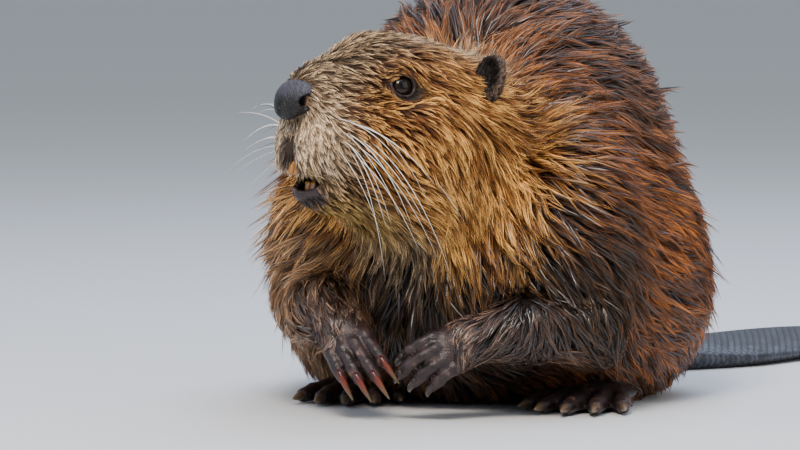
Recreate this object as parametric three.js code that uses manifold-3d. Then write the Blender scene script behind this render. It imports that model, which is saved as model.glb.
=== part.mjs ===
// A beaver at life size, sitting hunched on the ground with its head raised and turned to its right
// and its forepaws held together over the floor. Millimetres: +Z up, -Y the way the body faces,
// +X the animal's left, and the origin on the floor under the middle of the belly.
//
// Trunk and head are each one smooth form, blended from rounded masses and measured to the tips of
// the coat. They are joined and then parted with thin cuts. Legs, paws, toes and tail are lofts.
import * as THREE from "three";
import { LoftGeometry } from "three/addons/geometries/LoftGeometry.js";
import { mergeVertices } from "three/addons/utils/BufferGeometryUtils.js";
import Module from "manifold-3d";

const wasm = await Module();
wasm.setup();

// Driving dimensions, in millimetres and degrees
const HUMP_HEIGHT = 261; // the floor to the top of the back
const HUMP_WIDTH = 232;
const HUMP_LENGTH = 228;
const HAUNCH_WIDTH = 272; // across both thighs
const EYE_HEIGHT = 196;
const EYE_SPACING = 55; // between the middles of the eyeballs
const EYE_RADIUS = 8.2;
const HEAD_YAW = -35; // the head turns to the animal's right
const HEAD_PITCH = -16; // and its nose is raised
const MUZZLE_LENGTH = 63; // the eyes to the tip of the nose
const EAR_SET_BACK = 55; // the eyes to the ears
const EAR_HEIGHT = 32;
const HAND_CLAW = 14;
const FOOT_CLAW = 14;
const PADDLE_WIDTH = 112;
const PADDLE_THICKNESS = 17;
const GAP = 0.3; // between neighbouring pieces

// How softly neighbouring masses run into each other
const BODY_BLEND = 34;
const HEAD_BLEND = 14;
const SOCKET_BLEND = 7;
const LIP_BLEND = 5;

// Icosahedron subdivisions of each kind of rounded piece
const TRUNK_DETAIL = 5;
const HEAD_DETAIL = 6;
const EGG_DETAIL = 2;

const coat = { color: 0x6b4326, roughness: 0.75 };
const wetCoat = { color: 0x3d2a20, roughness: 0.6 };
const cheekCoat = { color: 0xa8733a, roughness: 0.75 };
const bareSkin = { color: 0x3a302c, roughness: 0.5 };
const scales = { color: 0x3b3c42, roughness: 0.5 };
const horn = { color: 0x8a5a3c, roughness: 0.35 };
const enamel = { color: 0xb5702c, roughness: 0.3 };
const noseSkin = { color: 0x33343b, roughness: 0.4 };
const eyeBall = { color: 0x120d0b, roughness: 0.08 };

const vec = (x, y, z) => new THREE.Vector3(x, y, z);
const { clamp, lerp, smoothstep, degToRad } = THREE.MathUtils;
const SIDES = [
  ["left", 1],
  ["right", -1],
];

// Turns by X, then Y, then Z, in degrees, and then moves
function placing(at, turn = [0, 0, 0]) {
  const [x, y, z] = turn.map(degToRad);
  return new THREE.Matrix4()
    .makeRotationFromEuler(new THREE.Euler(x, y, z, "ZYX"))
    .setPosition(...at);
}

// An ellipsoid mass as a field: about the distance from its surface, negative inside
function lump(at, radii, turn) {
  const toMass = placing(at, turn).invert();
  const size = vec(...radii);
  return (point) => {
    const p = point.clone().applyMatrix4(toMass).divide(size);
    const reach = p.length();
    const slope = p.divide(size).length();
    return slope === 0 ? -Math.min(...radii) : (reach * (reach - 1)) / slope;
  };
}

// A tapered mass between two points, as a field
function taper(from, to, startRadius, endRadius) {
  const start = vec(...from);
  const along = vec(...to).sub(start);
  return (point) => {
    const share = clamp(point.clone().sub(start).dot(along) / along.lengthSq(), 0, 1);
    const nearest = start.clone().addScaledVector(along, share);
    return point.distanceTo(nearest) - lerp(startRadius, endRadius, share);
  };
}

function smoothMin(a, b, softness) {
  const shared = Math.max(softness - Math.abs(a - b), 0) / softness;
  return Math.min(a, b) - (shared * shared * softness) / 4;
}

const blend = (softness, masses) => (point) =>
  masses.reduce((sum, mass) => smoothMin(sum, mass(point), softness), Infinity);

const dented = (softness, field, dents) => (point) =>
  dents.reduce((sum, dent) => -smoothMin(-sum, dent(point), softness), field(point));

// One mass on each side of the body
const paired = (make) => SIDES.map(([, side]) => make(side));

function solidOf(geometry) {
  const bare = new THREE.BufferGeometry()
    .setAttribute("position", geometry.getAttribute("position"))
    .setIndex(geometry.index);
  const merged = mergeVertices(bare, 1e-4);
  return new wasm.Manifold(
    new wasm.Mesh({
      numProp: 3,
      vertProperties: new Float32Array(merged.getAttribute("position").array),
      triVerts: new Uint32Array(merged.index.array),
    }),
  );
}

// The outermost surface of a field, as a ball of triangles drawn tight over it from a centre
function wrap(field, centre, detail, reach) {
  const STEPS = 48;
  const HALVINGS = 14;
  const geometry = new THREE.IcosahedronGeometry(1, detail);
  const position = geometry.getAttribute("position");
  for (let i = 0; i < position.count; i++) {
    const way = vec().fromBufferAttribute(position, i).normalize();
    const at = (distance) => centre.clone().addScaledVector(way, distance);
    let outside = reach;
    while (outside > 0 && field(at(outside)) > 0) outside -= reach / STEPS;
    let inside = Math.max(outside, 0);
    outside = inside + reach / STEPS;
    for (let n = 0; n < HALVINGS; n++) {
      const middle = (inside + outside) / 2;
      if (field(at(middle)) > 0) outside = middle;
      else inside = middle;
    }
    position.setXYZ(i, ...at(inside).toArray());
  }
  return solidOf(geometry);
}

// An ellipsoid solid, grown by a gap where it is a tool that makes room for a neighbour
function egg(at, radii, turn = [0, 0, 0], grow = 0, detail = EGG_DETAIL) {
  const geometry = new THREE.IcosahedronGeometry(1, detail);
  geometry.scale(...radii.map((radius) => radius + grow));
  geometry.applyMatrix4(placing(at, turn));
  return solidOf(geometry);
}

// A limb or digit lofted along a smooth line. wide(t) and high(t) are its half sizes across and
// along `up`, for t from 0 at the start to 1 at the end.
function limb(points, wide, high, { rings = 10, sides = 12, up = [0, 0, 1], grow = 0 } = {}) {
  const curve = new THREE.CatmullRomCurve3(points.map((p) => vec(...p)));
  const sections = [];
  for (let i = 0; i <= rings; i++) {
    const t = (1 - Math.cos((Math.PI * i) / rings)) / 2;
    const tangent = curve.getTangentAt(t);
    const across = vec(...up).cross(tangent).normalize();
    const top = tangent.clone().cross(across);
    const centre = curve.getPointAt(t).addScaledVector(tangent, grow * (2 * t - 1));
    const ring = [];
    for (let j = 0; j < sides; j++) {
      const angle = (2 * Math.PI * j) / sides;
      ring.push(
        centre
          .clone()
          .addScaledVector(across, Math.cos(angle) * (wide(t) + grow))
          .addScaledVector(top, Math.sin(angle) * (high(t) + grow)),
      );
    }
    sections.push(ring);
  }
  return solidOf(new LoftGeometry(sections, { capStart: true, capEnd: true }));
}

// A half size that runs from one value to another and rounds off at both ends
function roundEnded(start, end, blunt = 6) {
  const LEAST = 0.12;
  return (t) => lerp(start, end, t) * Math.max(Math.sqrt(1 - Math.abs(2 * t - 1) ** blunt), LEAST);
}

function box(size, at, turn) {
  return solidOf(new THREE.BoxGeometry(...size).applyMatrix4(placing(at, turn)));
}

const underFloor = box([2000, 2000, 400], [0, 0, -200]);
const aboveFloor = (solid) => solid.subtract(underFloor);
const join = (solids) => solids.reduce((sum, solid) => sum.add(solid));

const beaver = new THREE.Group();

// Adds a named piece, its geometry measured from a pivot of its own
function piece(name, solid, finish, pivot) {
  const found = solid.getMesh();
  const geometry = new THREE.BufferGeometry()
    .setAttribute("position", new THREE.BufferAttribute(new Float32Array(found.vertProperties), 3))
    .setIndex(new THREE.BufferAttribute(new Uint32Array(found.triVerts), 1))
    .translate(...pivot.map((value) => -value));
  geometry.computeVertexNormals();
  const mesh = new THREE.Mesh(geometry, new THREE.MeshStandardMaterial(finish));
  mesh.name = name;
  mesh.position.set(...pivot);
  beaver.add(mesh);
}

// ---- Trunk: hump, chest, belly, haunches, shoulders and neck ----

const HUMP_AT = [0, 40, 118];
const trunkForm = blend(BODY_BLEND, [
  lump(HUMP_AT, [HUMP_WIDTH / 2, HUMP_LENGTH / 2, HUMP_HEIGHT - HUMP_AT[2]]),
  lump([0, -44, 106], [94, 74, 84]), // chest
  lump([0, -8, 56], [104, 104, 60]), // belly
  lump([0, 88, 68], [94, 62, 72]), // rump
  taper([2, -34, 146], [-3, -84, 160], 58, 40), // neck
  taper([0, 104, 56], [20, 152, 34], 44, 30), // root of the tail
  ...paired((side) => lump([side * (HAUNCH_WIDTH / 2 - 56), 26, 66], [56, 86, 74])), // haunches
  ...paired((side) => lump([side * 72, -60, 104], [42, 46, 64])), // shoulders
]);
const TRUNK_MIDDLE = vec(0, 12, 105);
const TRUNK_REACH = 240;

// ---- Head, in its own frame: the origin between the eyes, -Y to the nose, +Z to the crown ----

const HEAD_AT = [-30.5, -128, EYE_HEIGHT];
const headPlacing = placing(HEAD_AT, [HEAD_PITCH, 0, HEAD_YAW]);
const worldToHead = headPlacing.clone().invert();
const onHead = (solid) => solid.transform(headPlacing.elements);
const headPoint = (at) => vec(...at).applyMatrix4(headPlacing).toArray();
const NOSE_TIP = [0, -MUZZLE_LENGTH, -22];
const NOSE_AT = [0, 13.5 - MUZZLE_LENGTH, -21.5];

const headMasses = blend(HEAD_BLEND, [
  lump([0, 27, 1], [48, 49, 36]), // cranium
  taper([0, -4, -2], [0, 30 - MUZZLE_LENGTH, -11.5], 30, 18.5), // bridge of the snout
  lump([0, -14, -36], [27, 28, 24]), // muzzle
  lump(NOSE_AT, [13.5, 10, 10.5]), // nose
  lump([0, 8, -58], [33, 37, 24]), // lower jaw
  lump([0, -17, -70], [15, 15, 11]), // chin
  lump([0, 44, -50], [48, 44, 40]), // throat
  lump([0, 66, -10], [52, 40, 46]), // nape
  ...paired((side) => lump([side * 13, -28, -41], [14, 16, 16])), // whisker pads
  ...paired((side) => lump([side * 32, 27, -30], [31, 44, 38])), // cheeks
]);
const eyeSockets = paired((side) => lump([side * 44, -1, 0], [12, 13, 10]));
const upperLips = paired((side) => lump([side * 8.5, -34, -50], [9.5, 9, 11]));
const headForm = blend(LIP_BLEND, [dented(SOCKET_BLEND, headMasses, eyeSockets), ...upperLips]);
const HEAD_MIDDLE = [0, 12, -22];
const HEAD_REACH = 100;

const wholeHead = wrap(
  (point) => headForm(point.clone().applyMatrix4(worldToHead)),
  vec(...headPoint(HEAD_MIDDLE)),
  HEAD_DETAIL,
  HEAD_REACH,
);
const wholeTrunk = wrap(trunkForm, TRUNK_MIDDLE, TRUNK_DETAIL, TRUNK_REACH);
let flesh = aboveFloor(wholeTrunk.add(wholeHead));

// Parts a region from the flesh that is left, with a thin gap round it
function part(region) {
  const taken = flesh.intersect(region(0));
  flesh = flesh.subtract(region(GAP));
  return taken;
}

// Makes room in the flesh for a piece with a shape of its own
function makeRoom(shape) {
  flesh = flesh.subtract(shape(GAP));
  return shape(0);
}

// ---- Eyes and ears ----

const earRoot = (side) => [side * 41, EAR_SET_BACK, 17];

// The ear is a small upright cup that opens forwards and out
function ear(side, grow) {
  const FACING = side * 38;
  const outer = egg(earRoot(side), [10.5, 6.5, EAR_HEIGHT / 2], [-8, 0, FACING], grow);
  if (grow) return onHead(outer);
  const [x, y, z] = earRoot(side);
  const hollow = egg([x + side * 4, y - 5, z + 2.5], [8, 5, EAR_HEIGHT / 2 - 5], [-8, 0, FACING], 0, 1);
  return onHead(outer.subtract(hollow));
}

for (const [name, side] of SIDES) {
  const eyeAt = [(side * EYE_SPACING) / 2, 2, -1.3];
  const radii = [EYE_RADIUS, EYE_RADIUS, EYE_RADIUS];
  const eye = makeRoom((grow) => onHead(egg(eyeAt, radii, [0, 0, 0], grow)));
  piece(`eye_${name}`, eye, eyeBall, headPoint(eyeAt));
  piece(`ear_${name}`, makeRoom((grow) => ear(side, grow)), wetCoat, headPoint(earRoot(side)));
}

// ---- Mouth, teeth, nose and jaw ----

const MOUTH_AT = [0, -26, -66];
flesh = flesh.subtract(onHead(egg(MOUTH_AT, [11.5, 13, 5.5], [4, 0, 0], 0, 1)));

// A pair of chisel-edged front teeth, joined at the midline
function incisors(length, at, tilt, grow) {
  const WIDTH = 10.5;
  const THICKNESS = 3.4;
  const edge = new THREE.Shape()
    .moveTo(-THICKNESS / 2 - grow, -length / 2 - grow)
    .lineTo(-THICKNESS / 2 - grow, length / 2 + grow)
    .lineTo(THICKNESS / 2 + grow, length / 2 + grow)
    .lineTo(THICKNESS / 2 + grow, -length / 2 + THICKNESS);
  const blade = new THREE.ExtrudeGeometry(edge, { depth: WIDTH + 2 * grow, bevelEnabled: false });
  blade.translate(0, 0, -WIDTH / 2 - grow);
  blade.applyMatrix4(placing([0, 0, 0], [90, 0, 90]));
  return onHead(solidOf(blade.applyMatrix4(placing(at, [tilt, 0, 0]))));
}

const UPPER_TEETH_AT = [0, -34, -57];
const LOWER_TEETH_AT = [0, -25, -70];
const upperTeeth = makeRoom((grow) => incisors(14, UPPER_TEETH_AT, -12, grow));
const lowerTeeth = makeRoom((grow) => incisors(11, LOWER_TEETH_AT, 160, grow));
piece("incisors_upper", upperTeeth, enamel, headPoint(UPPER_TEETH_AT));
piece("incisors_lower", lowerTeeth, enamel, headPoint(LOWER_TEETH_AT));

const nosePad = part((grow) =>
  onHead(egg([0, 11 - MUZZLE_LENGTH, -22], [16.5, 12, 12.5], [0, 0, 0], grow)),
);
const nostrils = join(
  paired((side) => onHead(egg([side * 12.5, 10.5 - MUZZLE_LENGTH, -23], [3.4, 3.6, 4.6], [0, 0, 0], 0, 1))),
);
piece("nose", nosePad.subtract(nostrils), noseSkin, headPoint(NOSE_TIP));

const JAW_AT = [0, 0, -80];
const jaw = part((grow) => onHead(egg(JAW_AT, [34, 47, 17.5], [4, 0, 0], grow)));
piece("lower_jaw", jaw, cheekCoat, headPoint(JAW_AT));

// ---- Forelegs ----

const ARMS = {
  left: { elbow: [88, -76, 49], wrist: [33, -133, 47] },
  right: { elbow: [-88, -76, 60], wrist: [-49, -131, 53] },
};
const ELBOW_RADIUS = 23;
const WRIST_RADIUS = 13.5;
const armSize = roundEnded(ELBOW_RADIUS, WRIST_RADIUS);

function foreleg({ elbow, wrist }, grow) {
  const bend = vec(...elbow).lerp(vec(...wrist), 0.5).add(vec(0, -6, 4)).toArray();
  return limb([elbow, bend, wrist], armSize, armSize, { grow });
}

// The hand is made along +X from the wrist, thumb side +Y, back of the hand +Z
const DIGITS = [
  { from: [10, 10, -6], splay: 10, length: 14 },
  { from: [19, 11, 0], splay: 5, length: 24 },
  { from: [22, 4, 1], splay: 1, length: 28 },
  { from: [21, -4, 1], splay: -2, length: 24 },
  { from: [18, -11, 0], splay: -6, length: 18 },
];
const DIGIT_RADIUS = 4.4;

// `curl` is the angle through which a finger bends from its knuckle to its tip
function digitPoint({ from, splay, length }, side, curl, share) {
  const angle = degToRad(splay);
  const bend = degToRad(curl);
  const out = (length * Math.sin(bend * share)) / bend;
  const drop = (length * (1 - Math.cos(bend * share))) / bend;
  const [x, y, z] = from;
  return [x + Math.cos(angle) * out, side * (y + Math.sin(angle) * out), z - drop];
}

function digit(spec, side, curl) {
  const points = [-0.25, 0.3, 0.7, 1].map((share) => digitPoint(spec, side, curl, share));
  const size = roundEnded(DIGIT_RADIUS, DIGIT_RADIUS * 0.8);
  return limb(points, size, size, { rings: 4, sides: 6 });
}

function claw(root, way, length, width, drop, grow) {
  const start = vec(...root);
  const ahead = vec(...way).normalize();
  const points = [-0.22, 0.35, 0.7, 1].map((share) => {
    const at = start.clone().addScaledVector(ahead, length * share);
    return [at.x, at.y, at.z - drop * Math.max(share, 0) ** 2];
  });
  const size = (t) => width * (1 - t) ** 0.75 + 0.25;
  return limb(points, size, size, { rings: 3, sides: 4, grow });
}

function handClaw(spec, side, curl, grow) {
  const tip = digitPoint(spec, side, curl, 0.98);
  const before = digitPoint(spec, side, curl, 0.85);
  const way = tip.map((value, axis) => value - before[axis]);
  return claw(tip, way, HAND_CLAW, 2.3, 3.5, grow);
}

const PALM = { at: [15, 0, -1], radii: [21, 16, 9.5] };
const HANDS = {
  left: { pointing: [-0.68, -0.62, -0.4], back: [0.47, -0.74, 0.45], curl: 80 },
  right: { pointing: [0.57, -0.62, -0.54], back: [-0.11, -0.8, 0.6], curl: 30 },
};

function handPlacing(name) {
  const wrist = vec(...ARMS[name].wrist);
  const { pointing, back } = HANDS[name];
  const along = vec(...pointing).normalize();
  const across = vec(...back).cross(along).normalize();
  const dorsal = along.clone().cross(across);
  return new THREE.Matrix4().makeBasis(along, across, dorsal).setPosition(wrist);
}

for (const [name, side] of SIDES) {
  const arm = ARMS[name];
  const wholeForeleg = makeRoom((grow) => foreleg(arm, grow));
  const { curl } = HANDS[name];
  const toWorld = handPlacing(name);
  const thumbSide = -side;
  let hand = join([
    egg(PALM.at, PALM.radii, [0, 0, 0], 0, 1),
    ...DIGITS.map((spec) => digit(spec, thumbSide, curl)),
  ]);
  DIGITS.forEach((spec, index) => {
    hand = hand.subtract(handClaw(spec, thumbSide, curl, GAP));
    const nail = handClaw(spec, thumbSide, curl, 0).transform(toWorld.elements);
    const root = vec(...digitPoint(spec, thumbSide, curl, 1)).applyMatrix4(toWorld);
    piece(`claw_hand_${name}_${index + 1}`, nail, horn, root.toArray());
  });
  hand = hand.transform(toWorld.elements);
  flesh = flesh.subtract(hand);
  piece(`foreleg_${name}`, wholeForeleg.subtract(hand), wetCoat, arm.elbow);
  piece(`hand_${name}`, hand, bareSkin, arm.wrist);
}

// ---- Hind feet, flat on the floor: made along +X from the heel, big toe +Y, sole on z = 0 ----

const FEET = {
  left: { heel: [76, 46, 0], heading: -88 },
  right: { heel: [-78, 54, 0], heading: -82 },
};
const TOES = [
  { from: [80, 17, 8], splay: 16, length: 40 },
  { from: [84, 9, 8], splay: 8, length: 50 },
  { from: [86, 0, 8], splay: 0, length: 54 },
  { from: [84, -9, 8], splay: -8, length: 52 },
  { from: [80, -17, 8], splay: -17, length: 44 },
];
const TOE_RADIUS = 6.2;
const WEB_THICKNESS = 4;

function toePoint({ from, splay, length }, side, share) {
  const angle = degToRad(splay);
  const [x, y, z] = from;
  return [x + Math.cos(angle) * length * share, side * (y + Math.sin(angle) * length * share), z - 3 * share];
}

function webbedFoot(side) {
  const sole = limb(
    [[-4, 0, 9], [30, 0, 12], [62, 0, 11], [98, 0, 7]],
    roundEnded(17, 27, 8),
    roundEnded(14, 7, 8),
    { rings: 6, sides: 10 },
  );
  const toes = TOES.map((spec) => {
    const size = roundEnded(TOE_RADIUS, TOE_RADIUS * 0.72);
    const points = [-0.3, 0.3, 1].map((share) => toePoint(spec, side, share));
    return limb(points, size, size, { rings: 3, sides: 6 });
  });
  const outline = new THREE.Shape().moveTo(60, side * 16);
  let [lastX, lastY] = toePoint(TOES[0], side, 0.9);
  outline.lineTo(lastX, lastY);
  for (const spec of TOES.slice(1)) {
    const [x, y] = toePoint(spec, side, 0.9);
    outline.quadraticCurveTo((lastX + x) / 2 - 9, (lastY + y) / 2, x, y);
    [lastX, lastY] = [x, y];
  }
  outline.lineTo(60, -side * 16);
  const web = new THREE.ExtrudeGeometry(outline, {
    depth: WEB_THICKNESS,
    bevelEnabled: false,
    curveSegments: 3,
  });
  return aboveFloor(join([sole, ...toes, solidOf(web)]));
}

function footClaw(spec, side, grow) {
  const tip = toePoint(spec, side, 0.98);
  const before = toePoint(spec, side, 0.8);
  const way = tip.map((value, axis) => value - before[axis]);
  return aboveFloor(claw(tip, way, FOOT_CLAW, 3.2, 1, grow));
}

for (const [name, side] of SIDES) {
  const { heel, heading } = FEET[name];
  const onFloor = placing(heel, [0, 0, heading]);
  const bigToeSide = -side;
  let foot = webbedFoot(bigToeSide);
  TOES.forEach((spec, index) => {
    foot = foot.subtract(footClaw(spec, bigToeSide, GAP));
    const nail = footClaw(spec, bigToeSide, 0).transform(onFloor.elements);
    const root = vec(...toePoint(spec, bigToeSide, 1)).applyMatrix4(onFloor);
    piece(`claw_foot_${name}_${index + 1}`, nail, horn, root.toArray());
  });
  foot = foot.transform(onFloor.elements);
  piece(`foot_${name}`, foot, bareSkin, heel);

  const roomForFoot = (grow) => limb(
    [[-10, 0, 6], [40, 0, 8], [90, 0, 6], [170, 0, 4]],
    roundEnded(22, 44, 10),
    roundEnded(22, 16, 10),
    { rings: 6, sides: 8, grow },
  ).transform(onFloor.elements);
  flesh = flesh.subtract(roomForFoot(GAP));
}

// ---- Tail: a furred stalk and a flat scaly paddle laid on the floor to the animal's left ----

const STALK = [
  [2, 112, 48],
  [14, 148, 32],
  [32, 184, 17],
];
const STALK_START_RADIUS = 42;
const STALK_END_RADIUS = 22;
const stalk = makeRoom((grow) =>
  aboveFloor(
    limb(STALK, roundEnded(STALK_START_RADIUS, STALK_END_RADIUS + 6), roundEnded(STALK_START_RADIUS, 17), {
      grow,
    }),
  ),
);

const PADDLE = [
  [28, 172, 9],
  [58, 250, 6],
  [88, 334, 6],
  [118, 418, 10],
];
const PADDLE_ROOT_SHARE = 0.4;

function paddleWidth(t) {
  const grown = lerp(PADDLE_ROOT_SHARE, 1, smoothstep(t, 0, 0.42));
  const tip = Math.sqrt(Math.max(1 - (Math.max(t - 0.5, 0) / 0.5) ** 3.2, 0.004));
  return (PADDLE_WIDTH / 2) * grown * tip;
}

function paddleHeight(t) {
  const thick = lerp(PADDLE_THICKNESS * 0.95, PADDLE_THICKNESS * 0.28, t ** 0.6);
  return thick * Math.sqrt(Math.max(1 - t ** 8, 0.05));
}

const paddle = (grow) => limb(PADDLE, paddleWidth, paddleHeight, { rings: 13, sides: 14, grow });
piece("tail_stalk", stalk.subtract(paddle(GAP)), coat, STALK[0]);
piece("tail_paddle", aboveFloor(paddle(0)), scales, PADDLE[0]);

// ---- What is left, parted into head, neck, thighs and trunk ----

const HEAD_BLOCK = [180, 150, 190];
const headBlock = (grow) =>
  onHead(box(HEAD_BLOCK.map((size) => size + 2 * grow), [0, -11, 5]));
piece("head", part(headBlock), cheekCoat, headPoint(HEAD_MIDDLE));

const NECK_AT = [-4, -72, 172];
const NECK_BLOCK = [260, 150, 150];
const NECK_TILT = 40;
const neckBlock = (grow) =>
  box(NECK_BLOCK.map((size) => size + 2 * grow), NECK_AT, [NECK_TILT, 0, 0]);
piece("neck", part(neckBlock), coat, NECK_AT);

for (const [name, side] of SIDES) {
  const thighAt = [side * 92, 22, 66];
  const thighRegion = (grow) => egg(thighAt, [50, 76, 62], [0, side * 6, 0], grow);
  piece(`thigh_${name}`, part(thighRegion), coat, thighAt);
}

piece("trunk", flesh, coat, HUMP_AT);

export default beaver;
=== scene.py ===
import math

import bpy
import numpy as np
from mathutils import Matrix, Vector
from mathutils.kdtree import KDTree


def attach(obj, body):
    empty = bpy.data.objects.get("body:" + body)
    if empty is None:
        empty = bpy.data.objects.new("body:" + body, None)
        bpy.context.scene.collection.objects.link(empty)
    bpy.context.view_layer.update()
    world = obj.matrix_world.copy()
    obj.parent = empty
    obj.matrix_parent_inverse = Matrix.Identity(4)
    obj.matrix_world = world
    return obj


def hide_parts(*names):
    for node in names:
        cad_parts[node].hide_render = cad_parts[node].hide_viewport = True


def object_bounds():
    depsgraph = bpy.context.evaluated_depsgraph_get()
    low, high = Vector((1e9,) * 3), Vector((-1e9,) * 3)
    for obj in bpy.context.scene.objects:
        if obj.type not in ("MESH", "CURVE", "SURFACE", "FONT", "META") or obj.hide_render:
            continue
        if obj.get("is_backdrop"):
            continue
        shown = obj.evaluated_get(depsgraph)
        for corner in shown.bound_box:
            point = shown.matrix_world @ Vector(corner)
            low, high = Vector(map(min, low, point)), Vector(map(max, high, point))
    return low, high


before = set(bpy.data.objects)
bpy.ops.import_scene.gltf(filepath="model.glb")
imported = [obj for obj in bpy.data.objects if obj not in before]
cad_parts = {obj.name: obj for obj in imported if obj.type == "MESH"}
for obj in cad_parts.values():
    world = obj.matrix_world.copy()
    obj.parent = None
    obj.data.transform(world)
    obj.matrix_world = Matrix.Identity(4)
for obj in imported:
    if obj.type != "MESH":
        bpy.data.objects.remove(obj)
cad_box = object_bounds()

# ---- Camera ----
# A long lens a little above the floor, to the animal's left of straight ahead. It crops the top of
# the back and the end of the tail.
AZIMUTH = math.radians(18)
ELEVATION = math.radians(4)
CAMERA_DISTANCE = 3.5
AIM = Vector((-0.0498, -0.0085, 0.1042))
LENS_MM = 259
TO_CAMERA = Vector(
    (
        math.sin(AZIMUTH) * math.cos(ELEVATION),
        -math.cos(AZIMUTH) * math.cos(ELEVATION),
        math.sin(ELEVATION),
    )
)

camera_data = bpy.data.cameras.new("long_lens")
camera_data.lens = LENS_MM
camera = bpy.data.objects.new("long_lens", camera_data)
bpy.context.collection.objects.link(camera)
camera.location = AIM + TO_CAMERA * CAMERA_DISTANCE
camera.rotation_euler = (math.pi / 2 - ELEVATION, 0, AZIMUTH)
bpy.context.scene.camera = camera

# ---- Skin: its form ----
# One skin over trunk, neck, head, legs, paws and the root of the tail. It is the outer form of the
# coat drawn in by the coat's depth, so the fur that stands on it reaches the true outline.
# Lengths are in millimetres up to the point where a mesh is made.
MM = 0.001
SIDES = {"left": 1, "right": -1}


def rows(values):
    """Points or values as an array."""
    return np.asarray(values, np.float32)


def length_of(vectors):
    """Lengths of the vectors in the last axis."""
    return np.sqrt((vectors * vectors).sum(-1))


def unit(vectors):
    """The same directions at length 1."""
    return vectors / np.maximum(length_of(vectors), 1e-6)[..., None]


def turned(x=0, y=0, z=0):
    """The rotation by X, then Y, then Z, in degrees, for points in rows."""
    angles = [math.radians(a) for a in (x, y, z)]
    parts = [Matrix.Rotation(a, 3, axis) for a, axis in zip(angles, "XYZ")]
    return rows(parts[2] @ parts[1] @ parts[0]).T


def lump(at, radii, coat=0.0, turn=None):
    """An ellipsoid mass under a coat of that depth, as a field that is negative inside. `shrink` is
    0 for the tips of the coat and 1 for the skin."""

    def field(points, shrink):
        size = rows(radii) - np.asarray(shrink, np.float32)[..., None] * coat
        p = points - rows(at)
        p = (p if turn is None else p @ turn.T) / size
        reach = length_of(p)
        return reach * (reach - 1) / np.maximum(length_of(p / size), 1e-6)

    return field


def taper(start, end, start_radius, end_radius, coat=0.0):
    """A tapered mass with round ends between two points."""

    def field(points, shrink):
        along = rows(end) - rows(start)
        p = points - rows(start)
        share = np.clip(p @ along / (along @ along), 0, 1)
        p -= share[:, None] * along
        return length_of(p) - (start_radius + (end_radius - start_radius) * share - shrink * coat)

    return field


def chain(points, radii, coat=0.0):
    """Tapered masses end to end."""
    ends = list(zip(points, radii))
    return [taper(a, b, ra, rb, coat) for (a, ra), (b, rb) in zip(ends, ends[1:])]


def soft_min(a, b, softness):
    """The lesser of two fields, rounded where they meet."""
    shared = np.maximum(softness - np.abs(a - b), 0) / softness
    return np.minimum(a, b) - shared * shared * softness / 4


def blended(softness, masses):
    """One mass from several, with soft joins."""

    def field(points, shrink):
        total = masses[0](points, shrink)
        for mass in masses[1:]:
            total = soft_min(total, mass(points, shrink), softness)
        return total

    return field


def dented(softness, whole, dents):
    """A mass with soft-edged hollows where the dents are."""

    def field(points, shrink):
        total = whole(points, shrink)
        for dent in dents:
            total = -soft_min(-total, dent(points, 0), softness)
        return total

    return field


def placed(field, at, turn):
    """A field made in a frame of its own."""
    return lambda points, shrink: field((points - rows(at)) @ turn.T, shrink)


def within(field, centre, reach):
    """Works a small field out only near it, and gives a rough distance elsewhere."""

    def near(points, shrink):
        found = length_of(points - rows(centre)) - 0.8 * reach
        close = found < 0.2 * reach
        found[close] = field(points[close], shrink if np.ndim(shrink) == 0 else shrink[close])
        return found

    return near


trunk = blended(
    34,
    [
        lump((0, 40, 118), (116, 114, 143), 13),  # hump
        lump((0, -44, 106), (94, 74, 84), 14),  # chest
        lump((0, -8, 56), (104, 104, 60), 10),  # belly
        lump((0, 88, 68), (94, 62, 72), 12),  # rump
        taper((2, -34, 146), (-3, -84, 160), 58, 40, 11),  # neck
        taper((0, 104, 56), (20, 152, 34), 44, 30, 9),  # root of the tail
        *(lump((side * 80, 26, 66), (56, 86, 74), 12) for side in (1, -1)),  # haunches
        *(lump((side * 72, -60, 104), (42, 46, 64), 12) for side in (1, -1)),  # shoulders
    ],
)

# The head's own frame starts close to midway between the eyes, -Y to the nose and +Z to the crown
HEAD_AT = (-30.5, -128, 196)
HEAD_TURN = turned(x=-16, z=-35)
MUZZLE = 63
EYE = (27.5, 2, -1.3)
EYE_RADIUS = 8.2
EYE_FACING = (math.radians(16), math.radians(10))  # forwards of straight out, and up
LID = 1.9  # its thickness
LID_OPENING = (7.1, 6.1)  # half sizes along the lids and up
LID_REACH = 14  # the lids lie within this of the middle of the eye

head_masses = blended(
    14,
    [
        lump((0, 27, 1), (48, 49, 36), 5),  # cranium
        taper((0, -4, -2), (0, 30 - MUZZLE, -11.5), 30, 18.5, 2.5),  # bridge of the snout
        lump((0, -14, -36), (27, 28, 24), 2),  # muzzle
        lump((0, 14 - MUZZLE, -21.5), (8.5, 6.5, 7.5), 1.0),  # nose
        lump((0, 8, -58), (33, 37, 24), 5),  # lower jaw
        lump((0, -17, -70), (15, 15, 11), 2.5),  # chin
        lump((0, 44, -50), (48, 44, 40), 9),  # throat
        lump((0, 66, -10), (52, 40, 46), 9),  # nape
        *(lump((side * 13, -28, -41), (14, 16, 16), 1.2) for side in (1, -1)),  # whisker pads
        *(lump((side * 12, -37, -18), (7, 8, 8), 1.2) for side in (1, -1)),  # sides of the nose
        *(lump((side * 25, -14, -28), (11, 16, 16), 2.5) for side in (1, -1)),  # under the eyes
        *(lump((side * 32, 27, -30), (31, 44, 38), 7) for side in (1, -1)),  # cheeks
    ],
)


def eye_at(side):
    """The middle of an eyeball, in the head's frame."""
    return rows((side * EYE[0], EYE[1], EYE[2]))


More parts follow.
